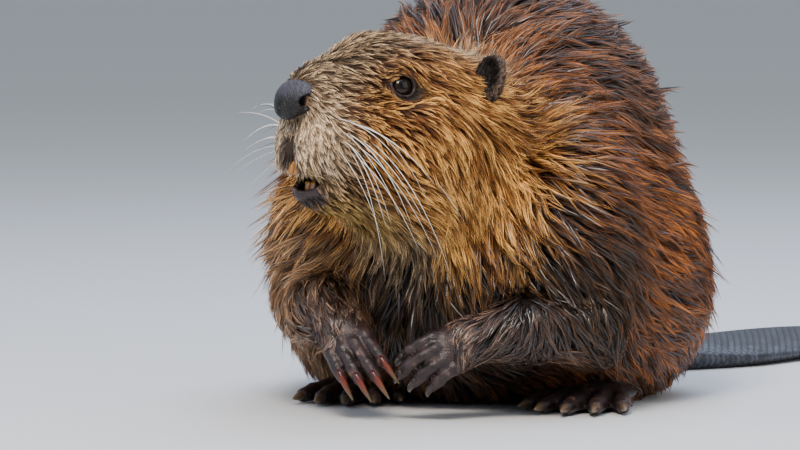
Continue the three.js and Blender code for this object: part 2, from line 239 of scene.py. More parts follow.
def eye_frame(side):
    """Rows: outwards through the pupil, level to the front, and up, in the head's frame."""
    forward, upward = EYE_FACING
    out = rows((side * math.cos(forward), -math.sin(forward), math.sin(upward)))
    level = rows((-side * out[1], side * out[0], 0))
    up = np.cross(out, level)
    return np.stack([unit(out), unit(level), unit(up) * np.sign(up[2])])


def lids(side):
    """The lids: a shell over the eyeball, open in an almond."""
    axes = eye_frame(side)

    def field(points, shrink):
        p = (points - eye_at(side)) @ axes.T
        almond = np.hypot(p[:, 1] / LID_OPENING[0], p[:, 2] / LID_OPENING[1])
        opening = np.where(p[:, 0] > 0, (almond - 1) * LID_OPENING[1], EYE_RADIUS)
        return np.maximum(length_of(p) - (EYE_RADIUS + LID), -opening)

    return field


eye_sockets = [lump((side * 44, -1, 0), (12, 13, 10)) for side in (1, -1)]
CLEFT = taper((0, -53, -33), (0, -45, -58), 2.2, 2.8)  # from the nose down the upper lip
MOUTH = lump((0, -25, -67), (10.5, 12.5, 5.6), turn=turned(x=4))
mouth_creases = [
    MOUTH,
    CLEFT,
    *(taper((side * 10, -24, -63.5), (side * 26, -6, -56.5), 1.9, 0.6) for side in (1, -1)),
]
lip_arc = [(-12, -18, -64.5), (-9, -25.5, -71.5), (0, -29.5, -74.4), (9, -25.5, -71.5), (12, -18, -64.5)]
lower_lip = blended(2, chain(lip_arc, [1.6, 2.9, 3.3, 2.9, 1.6]))
upper_lips = [lump((side * 8.8, -37, -47.5), (9.5, 9.5, 12)) for side in (1, -1)]
full_face = blended(5, [dented(7, head_masses, eye_sockets), *upper_lips, lower_lip])
face = dented(2.5, full_face, mouth_creases)


def head_with_lids(points, shrink):
    """The head with its lids, and hollow where the eyeballs sit."""
    total = face(points, shrink)
    for side in (1, -1):
        total = soft_min(total, within(lids(side), eye_at(side), 22)(points, shrink), 3)
        total = np.maximum(total, EYE_RADIUS + 0.15 - length_of(points - eye_at(side)))
    return total


head = within(placed(head_with_lids, HEAD_AT, HEAD_TURN), (-6, -94, 172), 165)

ARMS = {
    "left": ((88, -76, 49), (33, -133, 47)),
    "right": ((-82, -78, 62), (-49, -131, 53)),
}


def foreleg(name):
    """Upper arm and forearm down to the wrist."""
    elbow, wrist = (rows(p) for p in ARMS[name])
    bend = (elbow + wrist) / 2 + rows((0, -6, 4))
    shoulder = elbow + rows((-SIDES[name] * 14, 26, 22))
    return blended(14, chain([shoulder, elbow, bend, wrist], [30, 23, 19.5, 14], 5))


# The hand is made along +X from the wrist, the thumb's side +Y for the right hand, its back +Z
HANDS = {  # which way it points, which way its back faces, and how far its digits curl
    "left": ((-0.68, -0.62, -0.4), (0.47, -0.74, 0.45), 80),
    "right": ((0.57, -0.62, -0.54), (-0.11, -0.8, 0.6), 30),
}
DIGITS = [  # knuckle, splay in degrees and length
    ((10, 10, -6), 10, 14),
    ((19, 11, 0), 5, 24),
    ((22, 4, 1), 1, 28),
    ((21, -4, 1), -2, 24),
    ((18, -11, 0), -6, 18),
]
DIGIT_RADIUS = 4.1


def hand_axes(name):
    """The hand's frame as rows: along, across and out of its back."""
    along, back = (unit(rows(v)) for v in HANDS[name][:2])
    across = unit(np.cross(back, along))
    return np.stack([along, across, np.cross(along, across)])


def digit_point(digit, name, share):
    """A point along a digit that bends in an arc, in the hand's frame."""
    (x, y, z), splay, length = digit
    angle, bend = math.radians(splay), math.radians(HANDS[name][2])
    out = length * math.sin(bend * share) / bend
    drop = length * (1 - math.cos(bend * share)) / bend
    thumb = -SIDES[name]
    return (x + math.cos(angle) * out, thumb * (y + math.sin(angle) * out), z - drop)


def hand(name):
    """A palm with five digits, each swollen at its knuckle and pad."""
    thumb = -SIDES[name]
    digits = []
    for digit in DIGITS:
        shares = (-0.5, 0, 0.3, 0.62, 1)
        radii = (2.8, DIGIT_RADIUS, 3.4, 3.8, 3.0)
        digits += chain([digit_point(digit, name, share) for share in shares], radii)
    palm = [
        lump((11, 0, -3), (17, 13.5, 7)),
        lump((17, thumb * 7, -6), (10, 7, 5)),
        lump((4, 0, -0.5), (12, 11, 8.5)),
    ]
    wrist = ARMS[name][1]
    whole = placed(blended(3, [blended(8, palm), blended(1.2, digits)]), wrist, hand_axes(name))
    return within(whole, wrist, 90)


# The hind foot is made along +X from the heel, with its sole on the floor
FEET = {"left": ((76, 46, 0), -88), "right": ((-78, 54, 0), -82)}
TOES = [  # root, splay in degrees and length
    ((80, 17, 8), 16, 40),
    ((84, 9, 8), 8, 50),
    ((86, 0, 8), 0, 54),
    ((84, -9, 8), -8, 52),
    ((80, -17, 8), -17, 44),
]
TOE_RADIUS = 5.9


def toe_point(toe, name, share):
    """A point along a toe, in the foot's frame."""
    (x, y, z), splay, length = toe
    angle = math.radians(splay)
    out = length * share
    inner = -SIDES[name]
    return (x + math.cos(angle) * out, inner * (y + math.sin(angle) * out), z - 3 * share)


def foot(name):
    """A long sole, a web and five toes."""
    toes = []
    for toe in TOES:
        shares = (-0.5, 0, 0.35, 0.7, 1)
        radii = (4.6, TOE_RADIUS, 4.8, 5.2, 4.4)
        toes += chain([toe_point(toe, name, share) for share in shares], radii)
    sole = [
        *chain([(-2, 0, 9), (30, 0, 11), (62, 0, 10)], [12, 12, 10]),
        lump((70, 0, 8), (34, 24, 8.5)),
        lump((100, 0, 4), (26, 26, 3.2)),  # web
        lump((20, 0, 9), (26, 15, 10)),
    ]
    heel, heading = FEET[name]
    whole = placed(blended(2, [blended(10, sole), *toes]), heel, turned(z=heading))
    return within(whole, heel, 190)


stalk = blended(12, chain([(2, 112, 48), (14, 148, 32), (32, 184, 15)], [40, 30, 16], 6))
stalk = within(stalk, (16, 148, 32), 130)

limbs = {
    **{f"foreleg_{name}": (13, foreleg(name)) for name in SIDES},
    **{f"hand_{name}": (7, hand(name)) for name in SIDES},
    **{f"foot_{name}": (7, foot(name)) for name in SIDES},
    "tail_root": (12, stalk),
}
SKIN_ABOVE_FLOOR = 0.8


def body(points, shrink):
    """The whole animal but its paddle, out to the tips of the coat (shrink 0) or to the skin (1)."""
    total = soft_min(trunk(points, shrink), head(points, shrink), 20)
    for softness, limb in limbs.values():
        total = soft_min(total, limb(points, shrink), softness)
    return np.maximum(total, SKIN_ABOVE_FLOOR * shrink - points[:, 2])


def gradient(field, points, step=0.25):
    """Unit gradients from four neighbours of each point."""
    corners = rows([(1, -1, -1), (-1, -1, 1), (-1, 1, -1), (1, 1, 1)])
    return unit(sum(corner * field(points + corner * step)[:, None] for corner in corners))


def lines(*stretches):
    """Grid lines along an axis from (start, end, spacing) stretches."""
    found = [np.arange(a, b, spacing) for a, b, spacing in stretches]
    return rows(np.append(np.concatenate(found), stretches[-1][1]))


def sampled(field, axes, block=4):
    """The field on a grid of lines, worked out in full only near its surface."""
    shape = [len(axis) for axis in axes]
    starts = [np.arange(0, n - 1, block) for n in shape]
    ends = [np.minimum(s + block, n - 1) for s, n in zip(starts, shape)]
    low = np.stack(np.meshgrid(*(a[s] for a, s in zip(axes, starts)), indexing="ij"), -1)
    high = np.stack(np.meshgrid(*(a[e] for a, e in zip(axes, ends)), indexing="ij"), -1)
    middle = field(((low + high) / 2).reshape(-1, 3)).reshape(low.shape[:3])
    near = np.abs(middle) < 0.65 * length_of(high - low) + 2
    spans = [np.append(np.repeat(np.arange(len(s)), e - s), len(s) - 1) for s, e in zip(starts, ends)]
    values = middle[np.ix_(*spans)]
    wanted = np.zeros(shape, bool)
    for i, j, k in np.argwhere(near):
        cell = [slice(s[n], e[n] + 1) for s, e, n in zip(starts, ends, (i, j, k))]
        wanted[tuple(cell)] = True
    at = np.nonzero(wanted)
    values[at] = field(np.stack([axis[index] for axis, index in zip(axes, at)], 1))
    return values


def surface(field, axes, settle=2):
    """Points and quads of a field's surface: one point in each grid cell that it crosses."""
    values = sampled(field, axes)
    inside = values < 0
    shape = np.array(values.shape) - 1
    sums = np.zeros((shape.prod(), 3))
    counts = np.zeros(shape.prod())
    quads = []
    steps = np.eye(3, dtype=int)
    for axis in range(3):
        low, high = [slice(None)] * 3, [slice(None)] * 3
        low[axis], high[axis] = slice(None, -1), slice(1, None)
        crossed = np.argwhere(inside[tuple(low)] != inside[tuple(high)])
        a, b = values[tuple(crossed.T)], values[tuple((crossed + steps[axis]).T)]
        place = np.stack([axes[n][crossed[:, n]] for n in range(3)], 1).astype(float)
        far = axes[axis][crossed[:, axis] + 1]
        place[:, axis] += a / (a - b) * (far - place[:, axis])
        cells = []
        for back_a, back_b in ((0, 0), (1, 0), (1, 1), (0, 1)):
            cell = crossed - back_a * steps[(axis + 1) % 3] - back_b * steps[(axis + 2) % 3]
            index = (cell[:, 0] * shape[1] + cell[:, 1]) * shape[2] + cell[:, 2]
            sums += np.stack([np.bincount(index, p, len(sums)) for p in place.T], 1)
            counts += np.bincount(index, minlength=len(sums))
            cells.append(index)
        quad = np.stack(cells, 1)
        quads.append(np.where(inside[tuple(crossed.T)][:, None], quad, quad[:, ::-1]))
    used = np.flatnonzero(counts)
    number = np.full(len(sums), -1)
    number[used] = np.arange(len(used))
    points = rows(sums[used] / counts[used, None])
    for _ in range(settle):
        points -= gradient(field, points) * np.clip(field(points), -0.8, 0.8)[:, None]
    return points, number[np.concatenate(quads)]


def add_mesh(name, points, *polygons):
    """A mesh object from points in millimetres and arrays of polygons, each array of one size."""
    mesh = bpy.data.meshes.new(name)
    mesh.vertices.add(len(points))
    mesh.vertices.foreach_set("co", (rows(points) * MM).ravel())
    corners = np.concatenate([np.asarray(p, np.int32).ravel() for p in polygons])
    sizes = np.concatenate([np.full(len(p), len(p[0]), np.int32) for p in polygons if len(p)])
    mesh.loops.add(len(corners))
    mesh.loops.foreach_set("vertex_index", corners)
    mesh.polygons.add(len(sizes))
    mesh.polygons.foreach_set("loop_start", np.cumsum(sizes, dtype=np.int32) - sizes)
    mesh.polygons.foreach_set("use_smooth", np.ones(len(sizes), bool))
    mesh.update(calc_edges=True)
    obj = bpy.data.objects.new(name, mesh)
    bpy.context.collection.objects.link(obj)
    return obj


def tint(obj, colours):
    """Colours for the points of a mesh, which its material reads."""
    layer = obj.data.color_attributes.new("hair_colour", "FLOAT_COLOR", "POINT")
    layer.data.foreach_set("color", np.c_[colours, np.ones(len(colours))].astype(np.float32).ravel())


skin_axes = (  # finest over the face, the mouth and the hands
    lines(
        (-138, -90, 3), (-90, -64, 1.3), (-64, -44, 0.8), (-44, -17, 1.3),
        (-17, 2, 0.8), (2, 60, 1.4), (60, 138, 3),
    ),
    lines(
        (-190, -155, 1.3), (-155, -134, 0.8), (-134, -121, 1.3), (-121, -103, 0.8),
        (-103, -90, 1.4), (-90, 215, 3.4),
    ),
    lines(
        (-2, 60, 1.6), (60, 95, 2.4), (95, 186, 1.3), (186, 206, 0.8),
        (206, 236, 1.4), (236, 266, 3),
    ),
)
skin_points, skin_quads = surface(lambda points: body(points, 1.0), skin_axes)
skin = add_mesh("skin", skin_points, skin_quads)
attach(skin, "root")
flesh = ["head", "lower_jaw", "neck", "trunk", "tail_stalk"]
for part in ("foreleg", "hand", "thigh", "foot"):
    flesh += [f"{part}_{name}" for name in SIDES]
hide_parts(*flesh)

# ---- Skin: its colours and finish ----
# Skin and coat carry the same markings: golden cheeks, a greyish tan muzzle, dark rings round the
# eyes, a back darker than the flanks, and nearly black wet forelegs. The paws are bare and leathery.
# Some light and shade is painted in as well: a grey sky sheen on the back, a pale sheen on the forearm
# hair, light on the far chest, and shade on the lower chest, round the nose and in the mouth.


def linear(code):
    """Linear RGB from an sRGB hex value."""
    parts = np.array([int(code[n : n + 2], 16) / 255 for n in (1, 3, 5)])
    return rows(np.where(parts < 0.04045, parts / 12.92, ((parts + 0.055) / 1.055) ** 2.4))


def smooth(value, low, high):
    """0 below low, 1 above high and an S-curve between."""
    share = np.clip((value - low) / (high - low), 0, 1)
    return share * share * (3 - 2 * share)


def in_head(points):
    """Points of the object's frame in the head's."""
    return (points - rows(HEAD_AT)) @ HEAD_TURN.T


def away(points, place, reach):
    """0 at a place, 1 at its reach along each axis."""
    return length_of((points - rows(place)) / rows(reach))


def shares(points):
    """How far each point belongs to the head, cheeks, muzzle, forearms and bare paws, 0 to 1."""
    h = in_head(points)
    on_head = 1 - smooth(away(h, (0, 10, -20), (62, 84, 74)), 0.85, 1.15)
    muzzle = 1 - smooth(away(h, (0, -48, -46), (36, 38, 34)), 0.5, 1.25)
    cheek = smooth(np.abs(h[:, 0]), 12, 30)
    cheek *= 1 - smooth(away(h, (0, 42, -28), (92, 78, 62)), 0.7, 1.25)
    arm = np.zeros(len(points), np.float32)
    bare = np.zeros(len(points), np.float32)
    for name in SIDES:
        wrist = ARMS[name][1]
        close = 1 - smooth(limbs[f"foreleg_{name}"][1](points, 1.0), 3, 16)
        arm = np.maximum(arm, close * (1 - smooth(away(points, wrist, (1, 1, 1)), 24, 60)))
        for part in ("hand", "foot"):
            bare = np.maximum(bare, 1 - smooth(limbs[f"{part}_{name}"][1](points, 1.0), 0.3, 2.5))
    return on_head, cheek, muzzle, np.maximum(arm, bare), bare


def tones(points):
    """Colours of the coat at places on it: the under-fur, the body of a lock and its tip."""
    on_head, cheek, muzzle, arm, bare = shares(points)
    h = in_head(points)
    x, y, z = points.T
    base = np.stack([linear(code) for code in ("#110a07", "#44271a", "#c0722e")])
    found = np.tile(base, (len(points), 1, 1))

    def toward(share, *codes):
        """Draws the three colours towards others, by a share for each point."""
        for level, code in enumerate(codes):
            found[:, level] += (linear(code) - found[:, level]) * share[:, None]

    # The back is darker than the flanks, and greyed towards purple as a painted sky sheen on its wet hair
    dark_back_painted_sheen = smooth(z, 120, 215) * smooth(y, -70, 10)
    toward(dark_back_painted_sheen, "#0f0a0a", "#35251f", "#a4704f")
    # The lower front chest is drawn dark: dark wet hair, with painted shade under the head and between the
    # forelegs
    lower_chest_painted_shade = smooth(-y, 45, 85) * (1 - smooth(z, 95, 150)) * (1 - 0.8 * smooth(-x, 20, 60))
    toward(lower_chest_painted_shade, "#0b0705", "#1b110b", "#533a22")
    # The far side of the chest is drawn lighter: brown hair there, lifted by painted light where the head
    # shades it
    far_chest_painted_light = smooth(-y, 0, 50) * smooth(-x, 28, 68) * 0.9
    toward(far_chest_painted_light, "#241812", "#83603f", "#e0b88e")
    low_down = (1 - smooth(z, 20, 80)) * 0.3
    toward(low_down, "#0d0806", "#301a10", "#8a5530")
    toward(on_head * (1 - cheek), "#1a130f", "#715a44", "#e6c89c")
    toward(cheek, "#110904", "#6e3d15", "#ffc66e")
    throat = 1 - smooth(away(h, (0, -4, -84), (34, 36, 24)), 0.6, 1.4)
    toward(throat, "#1a130a", "#6a5029", "#caa662")
    toward(muzzle, "#20160f", "#7d6142", "#dcb987")
    pale = muzzle * smooth(h[:, 2] + 0.25 * h[:, 1], -74, -58)
    toward(pale, "#3a2c20", "#d6b28a", "#fff2d6")
    front_of_lips = np.exp(-away(h, (0, -50, -46), (17, 12, 14)) ** 2 * 1.5)
    toward(front_of_lips * 0.4, "#40352d", "#b5a595", "#fff6ea")
    for side in SIDES.values():
        rim = np.exp(-away(h, (side * 31, 2, -1.3), (10.5, 10.5, 9.5)) ** 8)
        duct = np.exp(-away(h, (side * 25, -13, -2), (8, 8, 4.5)) ** 2 * 1.6)
        toward(np.maximum(rim, duct) * 0.9, "#080504", "#150e0a", "#3c2b1f")
    dark_lip = 1 - smooth(lower_lip(h, 0), 0.3, 2.0)
    # The inside of the mouth crease, drawn nearly black below as painted shade
    inside = 1 - smooth(MOUTH(h, 0), 0.2, 1.2)
    groove = (1 - smooth(CLEFT(h, 0), 2.5, 6.0)) * 0.92
    toward(dark_lip, "#2a2224", "#4d4346", "#6a5c5c")
    toward(groove, "#1a1413", "#3f3431", "#5a4c46")
    # Painted shade: the skin round the nose pad and inside the mouth crease is drawn nearly black
    nose_surround_painted_shade = 1 - smooth(away(h, (0, -51.5, -23), (13, 10.5, 11)), 0.85, 1.05)
    toward(np.maximum(inside, nose_surround_painted_shade), "#0a0605", "#140b0a", "#1a100e")
    # Nearly black wet forelegs; the pale pinkish tips of their hair are partly painted sheen
    toward(arm, "#0b0706", "#271914", "#a58575")
    toward(bare, "#1b1615", "#2b2321", "#3a302c")
    return found


def add(tree, kind, settings=None, **links):
    """Adds a node: settings by the name of an input or a property, links by the name of an input."""
    made = tree.nodes.new(kind)
    for key, value in (settings or {}).items():
        if key in made.inputs:
            made.inputs[key].default_value = value
        else:
            setattr(made, key, value)
    for key, source in links.items():
        tree.links.new(source, made.inputs[key.replace("_", " ")])
    return made


def new_material(name):
    """A material and its empty tree."""
    material = bpy.data.materials.new(name)
    material.use_nodes = True
    material.node_tree.nodes.clear()
    return material, material.node_tree


def finished(tree, settings, **links):
    """Ends a material's tree in a shader of those settings."""
    shader = add(tree, "ShaderNodeBsdfPrincipled", settings, **links)
    add(tree, "ShaderNodeOutputMaterial", Surface=shader.outputs[0])


def pattern(mm):
    """The scale of a pattern that repeats every so many millimetres."""
    return 1 / (mm * MM)


def under_fur():
    """Close woolly under-fur: it looks dull and finely grained, with no shine of its own."""
    material, tree = new_material("close_under_fur")
    colour = add(tree, "ShaderNodeAttribute", {"attribute_name": "hair_colour"})
    place = add(tree, "ShaderNodeTexCoord")
    grain = add(
        tree,
        "ShaderNodeTexNoise",
        {"Scale": pattern(1.11), "Detail": 4.0, "Roughness": 0.7},
        Vector=place.outputs["Object"],
    )
    shade = add(
        tree, "ShaderNodeMapRange", {"To Min": 0.55, "To Max": 1.45}, Value=grain.outputs["Fac"]
    )
    tinted = add(
        tree,
        "ShaderNodeVectorMath",
        {"operation": "SCALE"},
        Vector=colour.outputs["Color"],
        Scale=shade.outputs[0],
    )
    bump = add(
        tree, "ShaderNodeBump", {"Strength": 0.6, "Distance": 0.0006}, Height=grain.outputs["Fac"]
    )
    dull = {"Roughness": 0.85, "Specular IOR Level": 0.15}
    finished(tree, dull, Base_Color=tinted.outputs[0], Normal=bump.outputs[0])
    return material


def paw_skin():
    """Wet leathery skin of paws, lower lip and lid margins: it looks like small creased plates,
    purplish brown with tan patches, under an uneven damp sheen."""
    material, tree = new_material("wet_paw_skin")
    place = add(tree, "ShaderNodeTexCoord")
    plates = add(
        tree,
        "ShaderNodeTexVoronoi",
        {"Scale": pattern(1.54), "feature": "DISTANCE_TO_EDGE"},
        Vector=place.outputs["Object"],
    )
    mottle = add(
        tree,
        "ShaderNodeTexNoise",
        {"Scale": pattern(6.25), "Detail": 6.0},
        Vector=place.outputs["Object"],
    )
    colour = add(tree, "ShaderNodeValToRGB", Fac=mottle.outputs["Fac"])
    colour.color_ramp.elements[0].position = 0.35
    colour.color_ramp.elements[0].color = (*linear("#1a1214"), 1)
    colour.color_ramp.elements[1].position = 0.62
    colour.color_ramp.elements[1].color = (*linear("#3a2a2a"), 1)
    pale = colour.color_ramp.elements.new(0.74)
    pale.color = (*linear("#94705a"), 1)
    creases = add(
        tree,
        "ShaderNodeBump",
        {"Strength": 0.7, "Distance": 0.0004},
        Height=plates.outputs["Distance"],
    )
    bump = add(
        tree,
        "ShaderNodeBump",
        {"Strength": 0.35, "Distance": 0.001},
        Height=mottle.outputs["Fac"],
        Normal=creases.outputs[0],
    )
    gloss = add(
        tree, "ShaderNodeMapRange", {"To Min": 0.28, "To Max": 0.56}, Value=mottle.outputs["Fac"]
    )
    finished(
        tree,
        {"IOR": 1.45},
        Base_Color=colour.outputs[0],
        Roughness=gloss.outputs[0],
        Normal=bump.outputs[0],
    )
    return material


def lid_margin(points, size):
    """Which points, in the head's frame, lie within the opening of the lids enlarged by size."""
    found = np.zeros(len(points), bool)
    for side in SIDES.values():
        p = (points - eye_at(side)) @ eye_frame(side).T
        almond = np.hypot(p[:, 1] / LID_OPENING[0], p[:, 2] / LID_OPENING[1])
        found |= (almond < size) & (p[:, 0] > 0) & (length_of(p) < LID_REACH)
    return found


skin_tones = tones(skin_points)
skin_on_head, *_, skin_bare = shares(skin_points)
fur_shows = (0.2 + 0.2 * skin_on_head)[:, None]
tint(skin, skin_tones[:, 0] + (skin_tones[:, 1] - skin_tones[:, 0]) * fur_shows)
close_fur = under_fur()
skin.data.materials.append(close_fur)
skin.data.materials.append(paw_skin())
skin_in_head = in_head(skin_points)
moist = (lower_lip(skin_in_head, 0) < 0.9) | lid_margin(skin_in_head, 1.22)
bare_quads = np.maximum(skin_bare, moist)[skin_quads].mean(1) > 0.5
skin.data.polygons.foreach_set("material_index", bare_quads.astype(np.int32))

# ---- Eyes ----
# Small dark brown eyes: nearly round wet balls, a little flattened in front and set into their
# sockets behind the lids, which hold them.
PUPIL_EDGE, IRIS_EDGE = 15, 34  # degrees off the eye's axis


def eye_surface():
    """The wet cornea over a very dark iris: it looks black-brown and mirror-like."""
    material, tree = new_material("wet_cornea")
    colour = add(tree, "ShaderNodeAttribute", {"attribute_name": "hair_colour"})
    finished(tree, {"Roughness": 0.05, "IOR": 1.38}, Base_Color=colour.outputs["Color"])
    return material


def ball(segments, rings):
    """Points and quads of a unit ball with its poles on X, and triangles round the poles."""
    turns = np.linspace(0, 2 * math.pi, segments, endpoint=False)
    tilt = np.linspace(0, math.pi, rings + 1)[1:-1]
    ring = [
        (math.cos(t), math.sin(t) * math.cos(a), math.sin(t) * math.sin(a)) for t in tilt for a in turns
    ]
    points = rows(ring + [(1, 0, 0), (-1, 0, 0)])
    n = np.arange(segments)
    after = (n + 1) % segments
    quads = []
    for k in range(rings - 2):
        low, high = k * segments, (k + 1) * segments
        quads.append(np.stack([low + n, high + n, high + after, low + after], 1))
    front, rear = len(points) - 2, len(points) - 1
    last = (rings - 2) * segments
    caps = [
        np.stack([np.full(segments, front), n, after], 1),
        np.stack([last + after, last + n, np.full(segments, rear)], 1),
    ]
    return points, np.concatenate(quads), np.concatenate(caps)


def in_world(points):
    """Points of the head's frame in the object's."""
    return points @ HEAD_TURN + rows(HEAD_AT)


wet_eye = eye_surface()
for name, side in SIDES.items():
    points, quads, caps = ball(48, 32)
    off_axis = np.degrees(np.arccos(np.clip(points[:, 0], -1, 1)))
    iris = linear("#170d08") * (0.5 + smooth(off_axis, PUPIL_EDGE + 1, IRIS_EDGE - 4) * 1.3)[:, None]
    iris = np.where((off_axis > IRIS_EDGE)[:, None], linear("#0c0807"), iris)
    iris = np.where((off_axis < PUPIL_EDGE)[:, None], linear("#050404"), iris)
    points[:, 0] *= 0.985
    points = points @ eye_frame(side) * EYE_RADIUS + eye_at(side)
    eye = add_mesh(f"eyeball_{name}", in_world(points), quads, caps)
    tint(eye, iris)
    eye.data.materials.append(wet_eye)
    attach(eye, "root")
    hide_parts(f"eye_{name}")

# ---- Nose ----
# A broad pad of bare leathery skin over gristle, dark grey, grooved down its middle and grown into
# the end of the snout. A comma-shaped nostril opens in each side.
nose_masses = blended(
    7,
    [
        lump((0, -47.5, -17), (12.5, 7.5, 7.2)),
        lump((0, -52.5, -27.5), (10, 6.8, 8)),
        *(lump((side * 9.5, -47.5, -22), (4.6, 6.8, 6.8)) for side in (1, -1)),
    ],
)
nose_cuts = [taper((0, -59.5, -24), (0, -57, -38), 0.5, 1.6)]
for side in (1, -1):
    nose_cuts += chain([(side * 15.5, -51.5, -25), (side * 9.8, -49.5, -22.5)], [4.0, 2.8])
    nose_cuts += chain([(side * 14.5, -50, -21.5), (side * 15, -41, -17.5)], [2.1, 0.8])
nose_field = dented(1.6, nose_masses, nose_cuts)


def nose_leather():
    """Moist pebbled nose skin: it looks like fine grain and shallow folds under a soft sheen."""
    material, tree = new_material("pebbled_nose_skin")
    place = add(tree, "ShaderNodeTexCoord")
    pebbles = add(
        tree, "ShaderNodeTexVoronoi", {"Scale": pattern(1.11)}, Vector=place.outputs["Object"]
    )
    mottle = add(
        tree,
        "ShaderNodeTexNoise",
        {"Scale": pattern(3.85), "Detail": 5.0},
        Vector=place.outputs["Object"],
    )
    tone = add(tree, "ShaderNodeAttribute", {"attribute_name": "hair_colour"})
    shade = add(
        tree, "ShaderNodeMapRange", {"To Min": 0.6, "To Max": 1.35}, Value=mottle.outputs["Fac"]
    )
    colour = add(
        tree,
        "ShaderNodeVectorMath",
        {"operation": "SCALE"},
        Vector=tone.outputs["Color"],
        Scale=shade.outputs[0],
    )
    folds = add(
        tree, "ShaderNodeBump", {"Strength": 0.8, "Distance": 0.003}, Height=mottle.outputs["Fac"]
    )
    bump = add(
        tree,
        "ShaderNodeBump",
        {"Strength": 0.7, "Distance": 0.0007},
        Height=pebbles.outputs["Distance"],
        Normal=folds.outputs[0],
    )
    moist_skin = {"Roughness": 0.46, "IOR": 1.45}
    finished(tree, moist_skin, Base_Color=colour.outputs[0], Normal=bump.outputs[0])
    return material


nose_axes = (lines((-19, 19, 0.7)), lines((-66, -34, 0.7)), lines((-42, -6, 0.7)))
nose_points, nose_quads = surface(lambda points: nose_field(points, 1.0), nose_axes)
nose = add_mesh("nose_pad", in_world(nose_points), nose_quads)
cut = np.minimum.reduce([one(nose_points, 0) for one in nose_cuts])
# Grey pad with painted shade: darker towards its underside, and nearly black in the nostrils and the groove
# down its middle
NOSE_TOP, NOSE_FOOT_SHADE, NOSTRIL_SHADE = (linear(code) for code in ("#41404a", "#0c0a0b", "#020202"))
leather_shaded_below = NOSE_TOP + (NOSE_FOOT_SHADE - NOSE_TOP) * smooth(-nose_points[:, 2], 16, 26)[:, None]
tint(nose, NOSTRIL_SHADE + (leather_shaded_below - NOSTRIL_SHADE) * smooth(cut, 0.2, 1.4)[:, None])
nose.data.materials.append(nose_leather())
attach(nose, "root")
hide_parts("nose")

# ---- Ears ----
# Small thin cups of gristle and skin, grown from the sides of the crown, and covered in short,
# dense, nearly black hair.
EAR_ROOT = (41, 55, 17)


def ear_field(side):
    """A cup with a notch in front, and the hollow in it."""
    x, y, z = EAR_ROOT
    turn = turned(x=-8, z=side * 38)
    outer = lump((side * x, y, z), (9.2, 6, 16), turn=turn)
    hollow = lump((side * (x + 2.5), y - 6, z + 1.5), (6.8, 6.5, 12), turn=turn)
    notch = taper((side * (x + 6), y - 8, z - 8), (side * (x + 8), y - 14, z - 4), 3, 4)
    return dented(2, outer, [hollow, notch]), hollow


EAR_HOLLOW_SHADE, EAR_OUTSIDE = linear("#040303"), linear("#211915")
ears = {}
for name, side in SIDES.items():
    field, hollow = ear_field(side)
    x, y, z = EAR_ROOT
    reach_x = sorted((side * (x - 14), side * (x + 14)))
    axes = (lines((*reach_x, 0.8)), lines((y - 14, y + 13, 0.8)), lines((z - 19, z + 19, 0.8)))
    ear_points, ear_quads = surface(lambda points: field(points, 1.0), axes)
    ears[name] = (field, hollow, ear_points, ear_quads)
    ear = add_mesh(f"ear_cup_{name}", in_world(ear_points), ear_quads)
    # Painted shade: the hollow of the cup is drawn nearly black
    outside = smooth(hollow(ear_points, 0), 0.3, 3)[:, None]
    tint(ear, EAR_HOLLOW_SHADE + (EAR_OUTSIDE - EAR_HOLLOW_SHADE) * outside)
    ear.data.materials.append(close_fur)
    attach(ear, "root")
    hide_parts(f"ear_{name}")

# ---- Incisors ----
# Two pairs of chisel teeth, of dentine faced with enamel that iron turns orange. They grow from
# deep sockets in the upper and lower jaw and wear to an edge against each other.


def enamel():
    """Iron-stained enamel: it looks glassy, in patches of brown and golden orange."""
    material, tree = new_material("iron_stained_enamel")
    place = add(tree, "ShaderNodeTexCoord")
    streaks = add(
        tree,
        "ShaderNodeTexNoise",
        {"Scale": pattern(3.33), "Detail": 3.0},
        Vector=place.outputs["Object"],
    )
    colour = add(tree, "ShaderNodeValToRGB", Fac=streaks.outputs["Fac"])
    colour.color_ramp.elements[0].color = (*linear("#7a4716"), 1)
    colour.color_ramp.elements[1].color = (*linear("#c4862f"), 1)
    finished(tree, {"Roughness": 0.22, "IOR": 1.6}, Base_Color=colour.outputs[0])
    return material


INCISOR_PAIR = 10.5  # across both teeth
INCISOR_THICK = 3.4
INCISOR_GAP = 0.24
INCISORS = {  # where the pair's root is, its length and its tilt
    "upper": ((0, -35, -52), 13, -8),
    "lower": ((0, -23, -75.5), 10, 200),
}


def loft(rings):
    """Points, quads and end caps of a closed tube through rings of equal length."""
    rings = rows(rings)
    count, sides = rings.shape[:2]
    n = np.arange(sides)
    after = (n + 1) % sides
    quads = []
    for k in range(count - 1):
        low, high = k * sides, (k + 1) * sides
        quads.append(np.stack([low + n, low + after, high + after, high + n], 1))
    points = np.concatenate([rings.reshape(-1, 3), rings[:1].mean(1), rings[-1:].mean(1)])
    first, last = count * sides, count * sides + 1
    end = (count - 1) * sides
    caps = [
        np.stack([np.full(sides, first), after, n], 1),
        np.stack([np.full(sides, last), end + n, end + after], 1),
    ]
    return points, np.concatenate(quads), np.concatenate(caps)


def joined(pieces):
    """Several (points, quads, triangles) as one."""
    starts = np.cumsum([0] + [len(p[0]) for p in pieces])
    return [
        np.concatenate([piece[n] + (start if n else 0) for piece, start in zip(pieces, starts)])
        for n in range(3)
    ]


